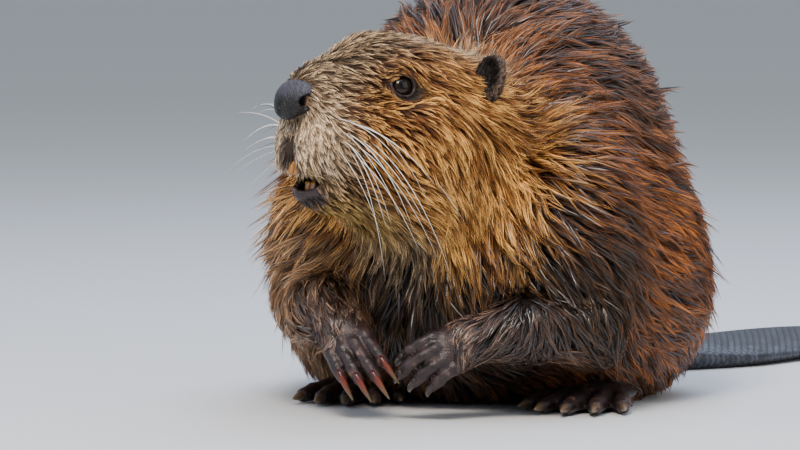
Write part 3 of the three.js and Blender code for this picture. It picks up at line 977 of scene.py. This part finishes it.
orange = enamel()
for name, (root, length, tilt) in INCISORS.items():
    teeth = []
    for side in (1, -1):
        rings = []
        for share in np.linspace(0, 1, 9):
            wide = INCISOR_PAIR / 4 * (1 - 0.12 * share ** 3) - INCISOR_GAP / 2
            thick = INCISOR_THICK / 2 * min(1, (1 - share) * 2.2 + 0.12)
            turns = np.linspace(0, 2 * math.pi, 20, endpoint=False)
            c, s = np.cos(turns), np.sin(turns)
            x = side * INCISOR_PAIR / 4 + wide * np.sign(c) * np.abs(c) ** 0.6
            y = -INCISOR_THICK / 2 + thick * np.sign(s) * np.abs(s) ** 0.6
            rings.append(np.stack([x, y, np.full(len(turns), -share * length)], 1))
        teeth.append(loft(rings))
    points, quads, caps = joined(teeth)
    points = points @ turned(x=tilt) + rows(root)
    tooth = add_mesh(f"incisor_pair_{name}", in_world(points), quads, caps)
    tooth.data.materials.append(orange)
    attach(tooth, "root")
    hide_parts(f"incisors_{name}")

# ---- Claws ----
# Long curved digging claws on the hands and broad flat ones on the hind feet. They are horn, grown
# from the top of each digit's end: dark red at the root of the right hand's, and tan at the tips.


def horn():
    """Worn claw horn: it looks smooth and faintly uneven, with a waxy shine."""
    material, tree = new_material("claw_horn")
    colour = add(tree, "ShaderNodeAttribute", {"attribute_name": "hair_colour"})
    place = add(tree, "ShaderNodeTexCoord")
    grain = add(
        tree,
        "ShaderNodeTexNoise",
        {"Scale": pattern(2), "Detail": 3.0},
        Vector=place.outputs["Object"],
    )
    bump = add(
        tree, "ShaderNodeBump", {"Strength": 0.3, "Distance": 0.0004}, Height=grain.outputs["Fac"]
    )
    waxy = {"Roughness": 0.28, "IOR": 1.54}
    finished(tree, waxy, Base_Color=colour.outputs["Color"], Normal=bump.outputs[0])
    return material


CLAW_SIDES = 14
CLAW_RINGS = (-0.3, -0.12, 0.04, 0.2, 0.38, 0.55, 0.7, 0.84, 0.94, 1.0)


def claw(start, along, down, length, width, drop):
    """A curved claw: oval in section, drooping towards its point."""
    across = unit(np.cross(down, along))
    rings = []
    for share in CLAW_RINGS:
        size = width * (1 - 0.82 * max(share, 0) ** 1.9) * min(1, 1.8 + 3 * share)
        centre = start + along * length * share + down * drop * max(share, 0) ** 2
        turns = np.linspace(0, 2 * math.pi, CLAW_SIDES, endpoint=False)
        rings.append(
            centre
            + np.outer(np.cos(turns) * size * 0.85, across)
            + np.outer(np.sin(turns) * size, -down)
        )
    return loft(rings)


HAND_CLAW = (14.5, 2.4, 4.5)  # length, half its width at the root, and droop
FOOT_CLAW = (14, 3.2, 1)
ABOVE_DIGIT = 1.2
claw_horn = horn()


def add_claws(label, made, slot_nodes, codes):
    """A set of claws, coloured from root to tip."""
    points, quads, caps = joined(made)
    obj = add_mesh(label, points, quads, caps)
    share = np.repeat(CLAW_RINGS, CLAW_SIDES).tolist() + [CLAW_RINGS[0], 1]
    places = np.linspace(-0.1, 0.95, len(codes))
    channels = np.stack([linear(code) for code in codes]).T
    colours = np.stack([np.interp(share, places, channel) for channel in channels], 1)
    tint(obj, np.tile(colours, (len(made), 1)))
    obj.data.materials.append(claw_horn)
    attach(obj, "root")
    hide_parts(*slot_nodes)


HAND_CLAW_TONES = {
    "left": ("#241815", "#3a2a1f", "#54402c"),
    "right": ("#451411", "#6c281c", "#624026", "#5c4e34"),
}
FOOT_CLAW_TONES = ("#2b211c", "#6d5a48")
for name in SIDES:
    made = []
    for digit in DIGITS:
        end, before = (rows(digit_point(digit, name, share)) for share in (0.98, 0.9))
        along = unit(end - before) @ hand_axes(name)
        start = end @ hand_axes(name) + rows(ARMS[name][1])
        across, back = hand_axes(name)[1:]
        down = unit(np.cross(along, across))
        down = down if down @ back < 0 else -down
        made.append(claw(start - down * ABOVE_DIGIT, along, down, *HAND_CLAW))
    nodes = [f"claw_hand_{name}_{n}" for n in range(1, 6)]
    add_claws(f"claws_hand_{name}", made, nodes, HAND_CLAW_TONES[name])
    made = []
    heel, heading = FEET[name]
    for toe in TOES:
        end, before = (rows(toe_point(toe, name, share)) for share in (0.98, 0.9))
        along = rows(unit(end - before) * (1, 1, 0)) @ turned(z=heading)
        start = end @ turned(z=heading) + rows(heel)
        made.append(claw(start, unit(along), rows((0, 0, -1)), *FOOT_CLAW))
        made[-1][0][:, 2] = np.maximum(made[-1][0][:, 2], 0.05)
    nodes = [f"claw_foot_{name}_{n}" for n in range(1, 6)]
    add_claws(f"claws_foot_{name}", made, nodes, FOOT_CLAW_TONES)

# ---- Tail paddle ----
# A broad flat paddle of fat and gristle over bone, grown on from the root of the tail, under a bare
# hide of staggered scales.
PADDLE_PATH = [(28, 172, 9), (58, 250, 6), (88, 334, 6), (118, 418, 10)]
PADDLE_LENGTH, PADDLE_WIDTH = 258, 112
PADDLE_AT_ROOT, PADDLE_AT_TIP = 16.15, 4.76  # half its thickness
SCALE_LONG, SCALE_WIDE, SCALE_HIGH = 7.0, 5.2, 0.55


def tail_hide():
    """Scaly tail hide: it looks slate grey and finely grained, with a wet sheen."""
    material, tree = new_material("scaly_tail_hide")
    colour = add(tree, "ShaderNodeAttribute", {"attribute_name": "hair_colour"})
    place = add(tree, "ShaderNodeTexCoord")
    grain = add(
        tree,
        "ShaderNodeTexNoise",
        {"Scale": pattern(1.43), "Detail": 5.0},
        Vector=place.outputs["Object"],
    )
    bump = add(
        tree, "ShaderNodeBump", {"Strength": 0.3, "Distance": 0.0004}, Height=grain.outputs["Fac"]
    )
    wet = {"Roughness": 0.36, "IOR": 1.45}
    finished(tree, wet, Base_Color=colour.outputs["Color"], Normal=bump.outputs[0])
    return material


def spline(points, share):
    """A smooth curve through four points."""
    a, b, c, d = (rows(p) for p in points)
    b, c = (-5 * a + 18 * b - 9 * c + 2 * d) / 6, (2 * a - 9 * b + 18 * c - 5 * d) / 6
    t = rows(share)[..., None]
    return a * (1 - t) ** 3 + 3 * b * t * (1 - t) ** 2 + 3 * c * t * t * (1 - t) + d * t ** 3


def paddle_point(share, over):
    """Places on the paddle, and how far sideways they are: share runs to the tip, and over runs
    round the section from -1 to 3."""
    half = PADDLE_WIDTH / 2 * (0.4 + 0.6 * smooth(share, 0, 0.42))
    half *= np.sqrt(np.maximum(1 - (np.maximum(share - 0.5, 0) / 0.5) ** 3.2, 0.004))
    thick = PADDLE_AT_ROOT + (PADDLE_AT_TIP - PADDLE_AT_ROOT) * share ** 0.6
    thick = thick * np.sqrt(np.maximum(1 - share ** 8, 0.05))
    centre = spline(PADDLE_PATH, share)
    along = spline(PADDLE_PATH, share + 0.01) - spline(PADDLE_PATH, share - 0.01)
    along = unit(along * rows((1, 1, 0)))
    across = np.stack([along[..., 1], -along[..., 0], np.zeros_like(share)], -1)
    top = over <= 1
    v = np.where(top, over, 2 - over)
    rim = np.sqrt(np.maximum(1 - np.abs(v) ** 2.4, 0))
    height = np.where(top, 1, -1) * thick * rim
    place = centre + across * (half * v)[..., None]
    place[..., 2] = np.maximum(centre[..., 2] + height, 0.4)
    return place, half * v


STEPS_LONG, STEPS_ROUND = 330, 300
share, over = np.meshgrid(
    np.linspace(0, 1, STEPS_LONG), np.linspace(-1, 3, STEPS_ROUND, endpoint=False), indexing="ij"
)
place, sideways = paddle_point(rows(share), rows(over))
row = share * PADDLE_LENGTH / SCALE_LONG * 2
cell = np.floor(row)
column = sideways / SCALE_WIDE + 0.5 * (cell % 2)
in_row = row - cell
in_column = column - np.floor(column)
edge = np.minimum(np.minimum(in_column, 1 - in_column) * 2.6, np.minimum(in_row, 1 - in_row) * 1.7)
dome = smooth(edge, 0.0, 0.5)
jitter = np.sin(cell * 12.9898 + np.floor(column) * 78.233) * 43758.5453
jitter = jitter - np.floor(jitter)  # a number of its own from 0 to 1 for each scale
fade = smooth(share, 0.0, 0.08) * smooth(1 - share, 0.0, 0.03)
relief = (dome - 1) * SCALE_HIGH * fade * (0.7 + 0.6 * jitter)
upward = np.where(over <= 1, 1.0, -1.0)
place[..., 2] = np.maximum(place[..., 2] + relief * upward, 0.4)
paddle_points, paddle_quads, paddle_caps = loft(place)
tail = add_mesh("tail_paddle_hide", paddle_points, paddle_quads, paddle_caps)
JOINT_GREY, SCALE_GREY = linear("#1b1c22"), linear("#454954")
slate = JOINT_GREY + (SCALE_GREY - JOINT_GREY) * (dome * (0.35 + 0.65 * jitter))[..., None]
tint(tail, np.concatenate([slate.reshape(-1, 3), slate[0, :1], slate[-1, :1]]))
tail.data.materials.append(tail_hide())
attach(tail, "root")
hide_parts("tail_paddle")

# ---- Coat ----
# Guard hair over dense wool, rooted in the skin, wet and drawn together into pointed locks on the
# body. It is finer and shorter on the head, and no more than a velvet on the muzzle. A tuft is an
# arched lower lock under thin tapered blades, and its strands are drawn several hairs thick.
chance = np.random.default_rng(71)
BARE_SPOTS = [((0, -51, -23), (13, 10.5, 11)), ((0, -27, -67), (11, 15, 5.8))]
for side in SIDES.values():
    BARE_SPOTS.append(((side * EAR_ROOT[0], EAR_ROOT[1], EAR_ROOT[2]), (8, 6, 10)))


def lie(points, normals):
    """The way the hair lies: back from the nose, down the flanks, and fanning down the chest."""
    on_head, _, muzzle, arm, bare = shares(points)
    h = in_head(points)
    x, y, z = points.T
    front = smooth(-y, 30, 100) * (1 - smooth(z, 150, 190))
    fall = 0.12 + 0.75 * smooth(215 - z, 0, 150) + 0.55 * smooth(-y, 0, 80) + 0.3 * smooth(y, 60, 130)
    way = np.stack([(x + 14) * 0.012 * (0.25 + front), 1.0 - 1.1 * front, -fall], 1)
    low = smooth(-h[:, 2], 18, 50)
    outward = np.sign(h[:, 0]) * (0.12 + 0.5 * muzzle * low)
    head_fall = 0.14 + 0.42 * smooth(-h[:, 2], 0, 50) + 0.9 * muzzle * low
    backward = 1 - 0.6 * muzzle * low
    head_way = rows(np.stack([outward, backward, -head_fall], 1))
    for side in SIDES.values():
        gap = h - eye_at(side)
        near = np.exp(-(length_of(gap) / 15) ** 6)
        gap = unit(gap)
        head_way -= gap * (np.minimum((head_way * gap).sum(1), 0) * near)[:, None]
        head_way[:, 2] += np.sign(gap[:, 2]) * near * np.clip(-gap[:, 1], 0, 1) * 0.6
    way += (head_way @ HEAD_TURN - way) * on_head[:, None]
    arm_way = np.tile((-0.5, -0.5, -0.55), (len(points), 1))
    arm_way[:, 0] *= np.sign(x)
    way += (arm_way - way) * (arm * (1 - bare))[:, None]
    waves = rows([(0.043, 0.031), (0.027, -0.052), (0.038, 0.035)])
    swirl = np.sin(points @ waves + rows((0.7, 2.1)))
    way += np.cross(normals, way) * (0.2 * swirl[:, :1] + 0.16 * swirl[:, 1:])
    way -= normals * (way * normals).sum(1)[:, None]
    return unit(rows(way))


def hair_per_mm2(points):
    """How many tufts grow on a square millimetre."""
    on_head, _, muzzle, arm, bare = shares(points)
    h = in_head(points)
    density = 0.105 + on_head * 0.23 + 0.2 * muzzle + 0.12 * arm
    for place, reach in BARE_SPOTS:
        density[away(h, place, reach) < 1] = 0
    for side in SIDES.values():
        p = (h - eye_at(side)) @ eye_frame(side).T
        density += 0.45 * np.exp(-(length_of(p) / LID_REACH) ** 4)
    density[lid_margin(h, 1.12)] = 0
    density[np.minimum(lower_lip(h, 0) + 0.6, CLEFT(h, 0) - 0.8) < 1] = 0
    density[points[:, 2] < 3] = 0
    return density * (1 - bare)


def scattered(points, quads, per_mm2):
    """Roots spread at random over a mesh of quads, as many as per_mm2 gives for each place."""
    triangles = np.concatenate([quads[:, [0, 1, 2]], quads[:, [0, 2, 3]]])
    a, b, c = (points[triangles[:, n]] for n in range(3))
    areas = length_of(np.cross(b - a, c - a)) / 2
    reach = np.cumsum(areas * per_mm2((a + b + c) / 3), dtype=float)
    pick = np.searchsorted(reach, chance.random(int(reach[-1])) * reach[-1])
    u, v = chance.random((2, len(pick)))
    u, v = np.where(u + v > 1, 1 - u, u), np.where(u + v > 1, 1 - v, v)
    return rows(a[pick] + (b - a)[pick] * u[:, None] + (c - a)[pick] * v[:, None])


STEPS = rows((0, 0.34, 0.68, 1.0))  # places along a tuft


def combed(roots, length, height, wander):
    """Paths of tufts through the coat: points, outward directions and ways along, at each step."""
    at = roots
    normal = gradient(lambda points: body(points, 1.0), at)
    way = lie(at, normal)
    turn = rows(chance.normal(0, 1, len(roots)) * wander)[:, None]
    path = [(at, normal, way)]
    for before, share in zip(STEPS, STEPS[1:]):
        at = at + (way + np.cross(normal, way) * turn) * ((share - before) * length)[:, None]
        shrink = rows(1 - height * share ** 0.8)
        normal = gradient(lambda points: body(points, shrink), at)
        at = at - normal * np.clip(body(at, shrink), -6, 6)[:, None]
        at[:, 2] = np.maximum(at[:, 2], 0.6)
        way = lie(at, normal)
        path.append((at, normal, way))
    return [np.stack(column, 1) for column in zip(*path)]


MOST_DRAWN = 9  # millimetres sideways


def drawn_into_locks(paths, normals, ways, every, pull):
    """Wet hair clings together: tufts are drawn sideways to the nearest of a few leading tufts.
    Returns their new paths, and the leader of each."""
    leaders = chance.permutation(len(paths))[: len(paths) // every]
    tree = KDTree(len(leaders))
    for n, leader in enumerate(leaders):
        tree.insert(paths[leader, 1].tolist(), n)
    tree.balance()
    nearest = leaders[[tree.find(point)[1] for point in paths[:, 1].tolist()]]
    across = np.cross(normals, ways)
    apart = ((paths[nearest] - paths) * across).sum(-1)
    shift = np.clip(apart, -MOST_DRAWN, MOST_DRAWN) * STEPS ** 0.8 * pull[:, None]
    return rows(paths + across * shift[..., None]), nearest


def six_sides(points, centre, radii, turn=None):
    """An unwrap of a rounded form: which of its six sides a point is on, and its place there."""
    p = points - rows(centre)
    p = (p if turn is None else p @ turn.T) / rows(radii)
    axis = np.argmax(np.abs(p), axis=1)
    index = np.arange(len(p))
    main = p[index, axis]
    others = np.stack([p[index, (axis + 1) % 3], p[index, (axis + 2) % 3]], 1) / np.abs(main)[:, None]
    return axis * 2 + (main > 0), np.arctan(others) / (math.pi / 2) + 0.5


PATCH = 0.003  # how much of the unwrap a tuft takes up


def strands(tufts, picks, count, width, clumping, along=(0, 1, 2), arched=False, roll=0.5, shade=1.0):
    """Tapered strands, `count` to a tuft, drawn together towards its tip. `along` picks the steps
    that have edges, an arched strand has a ridge, and `roll` tips strands on their sides."""
    pick = np.repeat(picks, count)
    n = len(pick)
    P, N, D = (tufts[key][pick] for key in ("paths", "normals", "ways"))
    T = np.cross(N, D)  # sideways
    spread = tufts["spread"][pick]
    offset = (chance.uniform(-1, 1, n) * spread * (count > 1))[:, None] * (1 - clumping * STEPS)
    offset = offset + chance.normal(0, 0.22, (n, 4)) * spread[:, None] * STEPS
    forward = chance.uniform(-1, 1, n) * spread * (count > 1)
    lift = chance.normal(0, 0.07, n)[:, None] * tufts["depth"][pick][:, None] * STEPS
    P = rows(P + T * offset[..., None] + D * forward[:, None, None] + N * lift[..., None])
    tips = P[:, 2] + (P[:, 3] - P[:, 2]) * chance.uniform(0.5, 1.1, n)[:, None]
    angle = chance.normal(0, roll, n)[:, None, None]
    across = T * np.cos(angle) + N * np.sin(angle)
    half = (width[picks].repeat(count) * chance.uniform(0.7, 1.3, n) / 2)[:, None]
    profile = (0.8, 1.0, 0.7)
    columns = []
    for k in along:
        edge = across[:, k] * half * profile[k]
        middle = [P[:, k] + N[:, k] * half * profile[k] * 0.8] if arched else []
        columns += [P[:, k] - edge, *middle, P[:, k] + edge]
    points = np.stack([*columns, tips], 1)
    points[..., 2] = np.maximum(points[..., 2], 0.3)
    wide = 3 if arched else 2
    each = points.shape[1]
    quads = [
        (a, a + 1, a + wide + 1, a + wide)
        for k in range(len(along) - 1)
        for a in range(k * wide, (k + 1) * wide - 1)
    ]
    ends = [(a, a + 1, each - 1) for a in range(each - 1 - wide, each - 2)]
    base = (np.arange(n) * each)[:, None, None]
    down = rows(np.repeat(STEPS[list(along)], wide).tolist() + [1])
    over = rows(list(np.linspace(0, 1, wide)) * len(along) + [0.5])
    uv = tufts["places"][pick][:, None] + np.stack([over - 0.5, down - 0.5], 1) * PATCH
    under, middle, tip = (tufts["tones"][pick][:, None, level] for level in range(3))
    light = np.clip(tufts["light"][pick] + chance.normal(0, 0.28, n), 0, 1)[:, None, None]
    lower = smooth(down, 0.0, 0.5)[:, None]
    upper = smooth(down, 0.3, 0.95)[:, None]
    colour = under + (middle * (0.5 + 0.7 * light) - under) * lower
    colour = colour + (middle + (tip - middle) * light - colour) * upper
    colour = colour * np.clip(shade * (1 + chance.normal(0, 0.16, n)), 0.4, 2)[:, None, None]
    return (
        points.reshape(-1, 3),
        (base + np.array(quads)).reshape(-1, 4),
        (base + np.array(ends)).reshape(-1, 3),
        uv.reshape(-1, 2),
        colour.reshape(-1, 3),
    )


def hair_finish(name, roughness, specular):
    """Hair of keratin: it looks silky, with more or less of a shine along each strand."""
    material, tree = new_material(name)
    colour = add(tree, "ShaderNodeAttribute", {"attribute_name": "hair_colour"})
    settings = {"Roughness": roughness, "Specular IOR Level": specular, "IOR": 1.55}
    finished(tree, settings, Base_Color=colour.outputs["Color"])
    return material


def add_coat(name, sets, materials):
    """One coat piece from sets of strands, each with its own finish."""
    starts = np.cumsum([0] + [len(part[0]) for part in sets])
    points, uv, colour = (np.concatenate([part[n] for part in sets]) for n in (0, 3, 4))
    quads, ends = (np.concatenate([part[n] + s for part, s in zip(sets, starts)]) for n in (1, 2))
    coat = add_mesh(name, points, quads, ends)
    corners = np.concatenate([quads.ravel(), ends.ravel()])
    layer = coat.data.uv_layers.new(name="OFBake")
    layer.data.foreach_set("uv", uv[corners].astype(np.float32).ravel())
    tint(coat, colour)
    for material in materials:
        coat.data.materials.append(material)
    finish = [np.full(len(part[n]), k, np.int32) for n in (1, 2) for k, part in enumerate(sets)]
    coat.data.polygons.foreach_set("material_index", np.concatenate(finish))
    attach(coat, "root")


# Where the coat is longer, shorter or fluffier than on the body
roots = scattered(skin_points, skin_quads, hair_per_mm2)
on_head, cheek, muzzle, arm, _ = shares(roots)
local = in_head(roots)
depth = np.maximum(-body(roots, 0.0), 0.3)
to_nape = smooth(local[:, 1], -30, 55)
forearm = arm * (1 - on_head)
by_eye = np.exp(-np.minimum(*(away(local, (side * 30, 0, -1), (17, 17, 17)) for side in (1, -1))) ** 4)
by_ear = np.exp(-np.minimum(*(away(local, (side * 41, 42, 14), (11, 12, 15)) for side in (1, -1))) ** 2)
lip_edge = np.exp(-((local[:, 2] + 57) / 6) ** 2) * muzzle
fluff = smooth(-roots[:, 1], 40, 85) * smooth(roots[:, 2], 70, 110) * (1 - on_head) * (1 - forearm)

# Tufts follow the body's form, but over the edge of the upper lip they hang, and wisps stand off
length = 33 - on_head * (24 - 17 * to_nape) - 2.5 * muzzle - 9 * forearm - 5 * by_eye + 4 * lip_edge
length = np.maximum(length + 6 * by_ear, 3.0) * chance.uniform(0.65, 1.25, len(roots))
height = np.clip(chance.normal(0.6, 0.2, len(roots)) + 0.25 * by_ear, 0.15, 0.95) + 0.25 * fluff
paths, normals, ways = combed(roots, length, height, 0.3 - 0.1 * on_head)
hanging = roots[:, None] + (ways[:, :1] + normals[:, :1] * 0.15) * (length[:, None] * STEPS)[..., None]
paths += (hanging - paths) * np.clip(lip_edge * 1.5, 0, 1)[:, None, None]
pull = rows(chance.uniform(0.4, 0.95, len(roots)) * (1 - 0.4 * muzzle))
paths, leader = drawn_into_locks(paths, normals, ways, 7, pull)
patchy = np.sin(roots @ rows([(0.09, 0.13), (0.11, -0.07), (0.12, 0.1)]) + rows((1.3, 0.2))).sum(1)
wisp = (chance.random(len(roots)) < 0.03 + 0.15 * fluff) * (1 - on_head)
wisp = wisp * (1 - forearm) * smooth(roots[:, 2], 30, 70)
paths += normals * (wisp * chance.uniform(4, 14, len(roots)))[:, None, None] * (STEPS ** 1.6)[:, None]

# How light each tuft is, 0 to 1: most are near an end, and those of one lock are alike
light = chance.beta(0.4, 0.6, len(roots))
shared = (0.42 + 0.18 * cheek) * (1 - muzzle)
light += (light[leader] - light) * shared
light = 0.42 + (light - 0.42) * (1 + 0.8 * shared)
light = light * (0.8 + 0.2 * on_head) * (1 - 0.3 * forearm) + 0.1 * patchy
tufts = {
    "paths": rows(paths),
    "normals": normals,
    "ways": ways,
    "depth": depth,
    "spread": rows(2.7 - on_head * (2.1 - 1.3 * to_nape) - 0.8 * forearm),
    "tones": tones(roots),
    "light": np.clip(light, 0, 1),
    "places": np.zeros((len(roots), 2), np.float32),
}
regions = {  # the middle and radii of each form, for its unwrap
    "trunk": (trunk, (0, 30, 112), (112, 150, 130), None),
    "head": (head, (-6, -94, 172), (48, 72, 55), HEAD_TURN),
    "foreleg_left": (limbs["foreleg_left"][1], (60, -104, 50), (34, 30, 22), None),
    "foreleg_right": (limbs["foreleg_right"][1], (-68, -104, 60), (34, 30, 22), None),
    "tail_root": (stalk, (16, 150, 30), (36, 46, 30), None),
}
owner = np.argmin([region[0](roots, 1.0) for region in regions.values()], axis=0)
SIX = ("right", "left", "front", "rear", "under", "top")
MOST_TRIANGLES = 185000  # in one piece
PER_TUFT = 35  # triangles
BLADES = 5
lock_width = rows(1.5 - 0.75 * on_head)
blade_width = rows(0.52 - 0.16 * on_head)
wet_locks = hair_finish("wet_lower_locks", 0.3, 0.6)
damp_locks = hair_finish("damp_lower_locks", 0.55, 0.2)
guard_tips = hair_finish("guard_hair_tips", 0.55, 0.2)
for number, (region, (field, centre, radii, turn)) in enumerate(regions.items()):
    mine = np.flatnonzero(owner == number)
    side_of, place = six_sides(roots[mine], centre, radii, turn)
    if region in ("trunk", "head"):
        groups = {label: side_of == n for n, label in enumerate(SIX)}
    else:
        groups = {"": side_of >= 0}
        place = (place + np.stack([side_of % 3, side_of // 3], 1)) / rows((3, 2))
    tufts["places"][mine] = place
    for label, members in groups.items():
        chosen = mine[members]
        if len(chosen) == 0:
            continue
        chosen = chosen[np.argsort(tufts["places"][chosen, 1])]
        bands = math.ceil(len(chosen) * PER_TUFT / MOST_TRIANGLES)
        for band, picks in enumerate(np.array_split(chosen, bands)):
            on_muzzle = muzzle[picks] > 0.5
            long, short = picks[~on_muzzle], picks[on_muzzle]
            lower = damp_locks if region == "head" else wet_locks
            sets, finishes = [], []
            if len(long):
                sets.append(strands(tufts, long, 1, lock_width, 0, arched=True, roll=0.25, shade=0.36))
                sets.append(strands(tufts, long, BLADES, blade_width, 0.88, roll=0.7, shade=1.85))
                finishes += [lower, guard_tips]
            if len(short):
                ends = (0, 2)
                sets.append(strands(tufts, short, 1, lock_width, 0, ends, arched=True, shade=0.4))
                sets.append(strands(tufts, short, BLADES, blade_width, 0.8, ends, roll=0.6, shade=1.7))
                finishes += [lower, guard_tips]
            name = "_".join(["coat", region] + [label] * (label != "") + [str(band + 1)] * (bands > 1))
            add_coat(name, sets, finishes)

# Short hair of the ears, which lies up and back over both faces of each cup
ear_hair = hair_finish("ear_hair", 0.5, 0.4)
ear_tones = np.stack([linear(code) for code in ("#181210", "#4a372c", "#9a7a60")])
for name, (field, hollow, ear_points, ear_quads) in ears.items():
    ear_roots = scattered(ear_points, ear_quads, lambda points: np.full(len(points), 1.1))
    outward = gradient(lambda points: field(points, 1.0), ear_roots)
    way = rows((SIDES[name] * 0.25, 0.35, 1)) + rows(chance.normal(0, 0.25, ear_roots.shape))
    way = unit(way - outward * (way * outward).sum(1)[:, None])
    reach = chance.uniform(1.6, 3.6, len(ear_roots))[:, None, None] * STEPS[:, None]
    paths = ear_roots[:, None] + way[:, None] * reach + outward[:, None] * reach * 0.22
    count = len(ear_roots)
    side_of, place = six_sides(ear_roots, (SIDES[name] * EAR_ROOT[0], *EAR_ROOT[1:]), (10, 6, 16))
    ear_tufts = {
        "paths": in_world(rows(paths)),
        "normals": np.repeat((outward @ HEAD_TURN)[:, None], 4, 1),
        "ways": np.repeat((way @ HEAD_TURN)[:, None], 4, 1),
        "depth": np.full(count, 0.5, np.float32),
        "spread": np.full(count, 0.5, np.float32),
        # Painted shade: hair in the hollow of the cup is drawn darker
        "tones": ear_tones * smooth(hollow(ear_roots, 0), -0.5, 3)[:, None, None],
        "light": chance.beta(1, 1.6, count),
        "places": (place + np.stack([side_of % 3, side_of // 3], 1)) / rows((3, 2)),
    }
    widths = np.full(count, 0.36, np.float32)
    sets = [strands(ear_tufts, np.arange(count), 3, widths, 0.3, along=(0, 2), roll=0.6)]
    add_coat(f"coat_ear_{name}", sets, [ear_hair])

# ---- Whiskers ----
# Long stiff bristles, most of them white, rooted deep in the pads beside the nose. They sweep back
# and down over the cheek, or forwards past the mouth on the far side. A few stand over each eye.


def whisker_finish():
    """Stiff bristle of keratin: it looks smooth, with a satin shine."""
    material, tree = new_material("whisker_bristle")
    colour = add(tree, "ShaderNodeAttribute", {"attribute_name": "hair_colour"})
    finished(tree, {"Roughness": 0.35}, Base_Color=colour.outputs["Color"])
    return material


def bristle(points, radius, sides=5):
    """A tapering bristle along points."""
    points = rows(points)
    along = unit(np.gradient(points, axis=0))
    across = unit(np.cross(along, rows((0.3, 0.2, 1))))
    top = np.cross(across, along)
    turns = np.linspace(0, 2 * math.pi, sides, endpoint=False)
    share = np.linspace(0, 1, len(points))
    size = radius * (1 - share ** 1.5 * 0.9)
    rings = (
        points[:, None]
        + across[:, None] * (np.cos(turns)[None, :, None] * size[:, None, None])
        + top[:, None] * (np.sin(turns)[None, :, None] * size[:, None, None])
    )
    return loft(rings)


WHISKER_WHITE, WHISKER_DARK, BROW_DARK = (linear(code) for code in ("#fbf7ee", "#3a302b", "#2a1f19"))
bristle_finish = whisker_finish()
for name, side in SIDES.items():
    near = side > 0
    made, colours = [], []
    for line in range(4):
        for column in range(4 - line // 2):
            root = rows([(side * 30, -36 + 6.5 * column + 2 * line, -30 - 6 * line)])
            root += rows(chance.normal(0, 0.8, 3))
            for _ in range(3):
                root -= gradient(lambda points: face(points, 1.0), root) * face(root, 1.0)[:, None]
            reach = (46 + 6 * column + 6 * (line % 2)) * chance.uniform(0.75, 1.15) * (1 if near else 0.7)
            back = 0.45 + 0.1 * column - 0.08 * line if near else 0.1 * column - 0.3
            rise = -0.02 - 0.16 * line + (0 if near else 0.45)
            start = unit(rows((side * 0.55, back, rise)))
            start = unit(start + rows(chance.normal(0, 0.1, 3)))
            bend = rows((-side * 0.1, 0.06, -0.62)) * chance.uniform(0.55, 1.15)
            t = np.linspace(0, 1, 14)[:, None]
            path = root + start * reach * t + bend * reach * t ** 1.9
            made.append(bristle(path, chance.uniform(0.2, 0.34)))
            tone = WHISKER_DARK
            if chance.random() < 0.85:
                tone = WHISKER_WHITE * chance.uniform(0.75, 1.0)
            colours.append(np.tile(tone, (len(made[-1][0]), 1)))
    for n in range(4):
        root = rows((side * (16 + 3 * n), -12 + 4 * n, 14 + n))
        start = unit(rows((side * 0.5, -0.5 + 0.3 * n, 0.8)))
        t = np.linspace(0, 1, 10)[:, None]
        path = root + start * 22 * t + rows((0, 12, -9)) * t ** 2
        made.append(bristle(path, 0.2))
        colours.append(np.tile(BROW_DARK, (len(made[-1][0]), 1)))
    points, quads, caps = joined(made)
    whiskers = add_mesh(f"whiskers_{name}", in_world(points), quads, caps)
    tint(whiskers, np.concatenate(colours))
    whiskers.data.materials.append(bristle_finish)
    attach(whiskers, "root")

# ---- Floor and light ----
# A plain pale studio floor, matt painted, under five soft lights and an even pale surround. The key
# light is in front and above, the fill on the animal's left, and the rest are cooler.
FLOOR = 4e4
floor = add_mesh(
    "floor", [(-FLOOR, -FLOOR, 0), (FLOOR, -FLOOR, 0), (FLOOR, FLOOR, 0), (-FLOOR, FLOOR, 0)], [(0, 1, 2, 3)]
)
pale, pale_tree = new_material("matt_floor_paint")
finished(pale_tree, {"Base Color": (*linear("#d9dbdd"), 1), "Roughness": 0.7})
floor.data.materials.append(pale)
floor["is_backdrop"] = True


def soft_light(name, azimuth, elevation, distance, size, power, colour):
    """A square soft box that faces the animal, with its distance and side in metres."""
    data = bpy.data.lights.new(name, "AREA")
    data.size = size
    data.energy = power
    data.color = linear(colour)
    light = bpy.data.objects.new(name, data)
    bpy.context.collection.objects.link(light)
    a, e = math.radians(azimuth), math.radians(elevation)
    way = Vector((math.sin(a) * math.cos(e), -math.cos(a) * math.cos(e), math.sin(e)))
    light.location = Vector((0, 0, 0.1)) + way * distance
    light.rotation_euler = way.to_track_quat("Z", "Y").to_euler()


soft_light("key", 5, 50, 1.8, 0.6, 33, "#fff1e0")
soft_light("fill", 75, 25, 2.2, 1.6, 12, "#fff6ee")
soft_light("sky", 170, 60, 1.8, 1.4, 26, "#d5e4ff")
soft_light("overhead", 24, 74, 1.8, 1.5, 10, "#cfe0ff")
soft_light("left_sky", -65, 25, 2.2, 1.6, 10, "#dce8ff")
world = bpy.data.worlds.new("studio")
world.use_nodes = True
world.node_tree.nodes["Background"].inputs["Color"].default_value = (*linear("#dfe8f2"), 1)
world.node_tree.nodes["Background"].inputs["Strength"].default_value = 0.55
bpy.context.scene.world = world

size = {"cad": cad_box, "visual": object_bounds()}
{key: [list(corner) for corner in box] for key, box in size.items()}
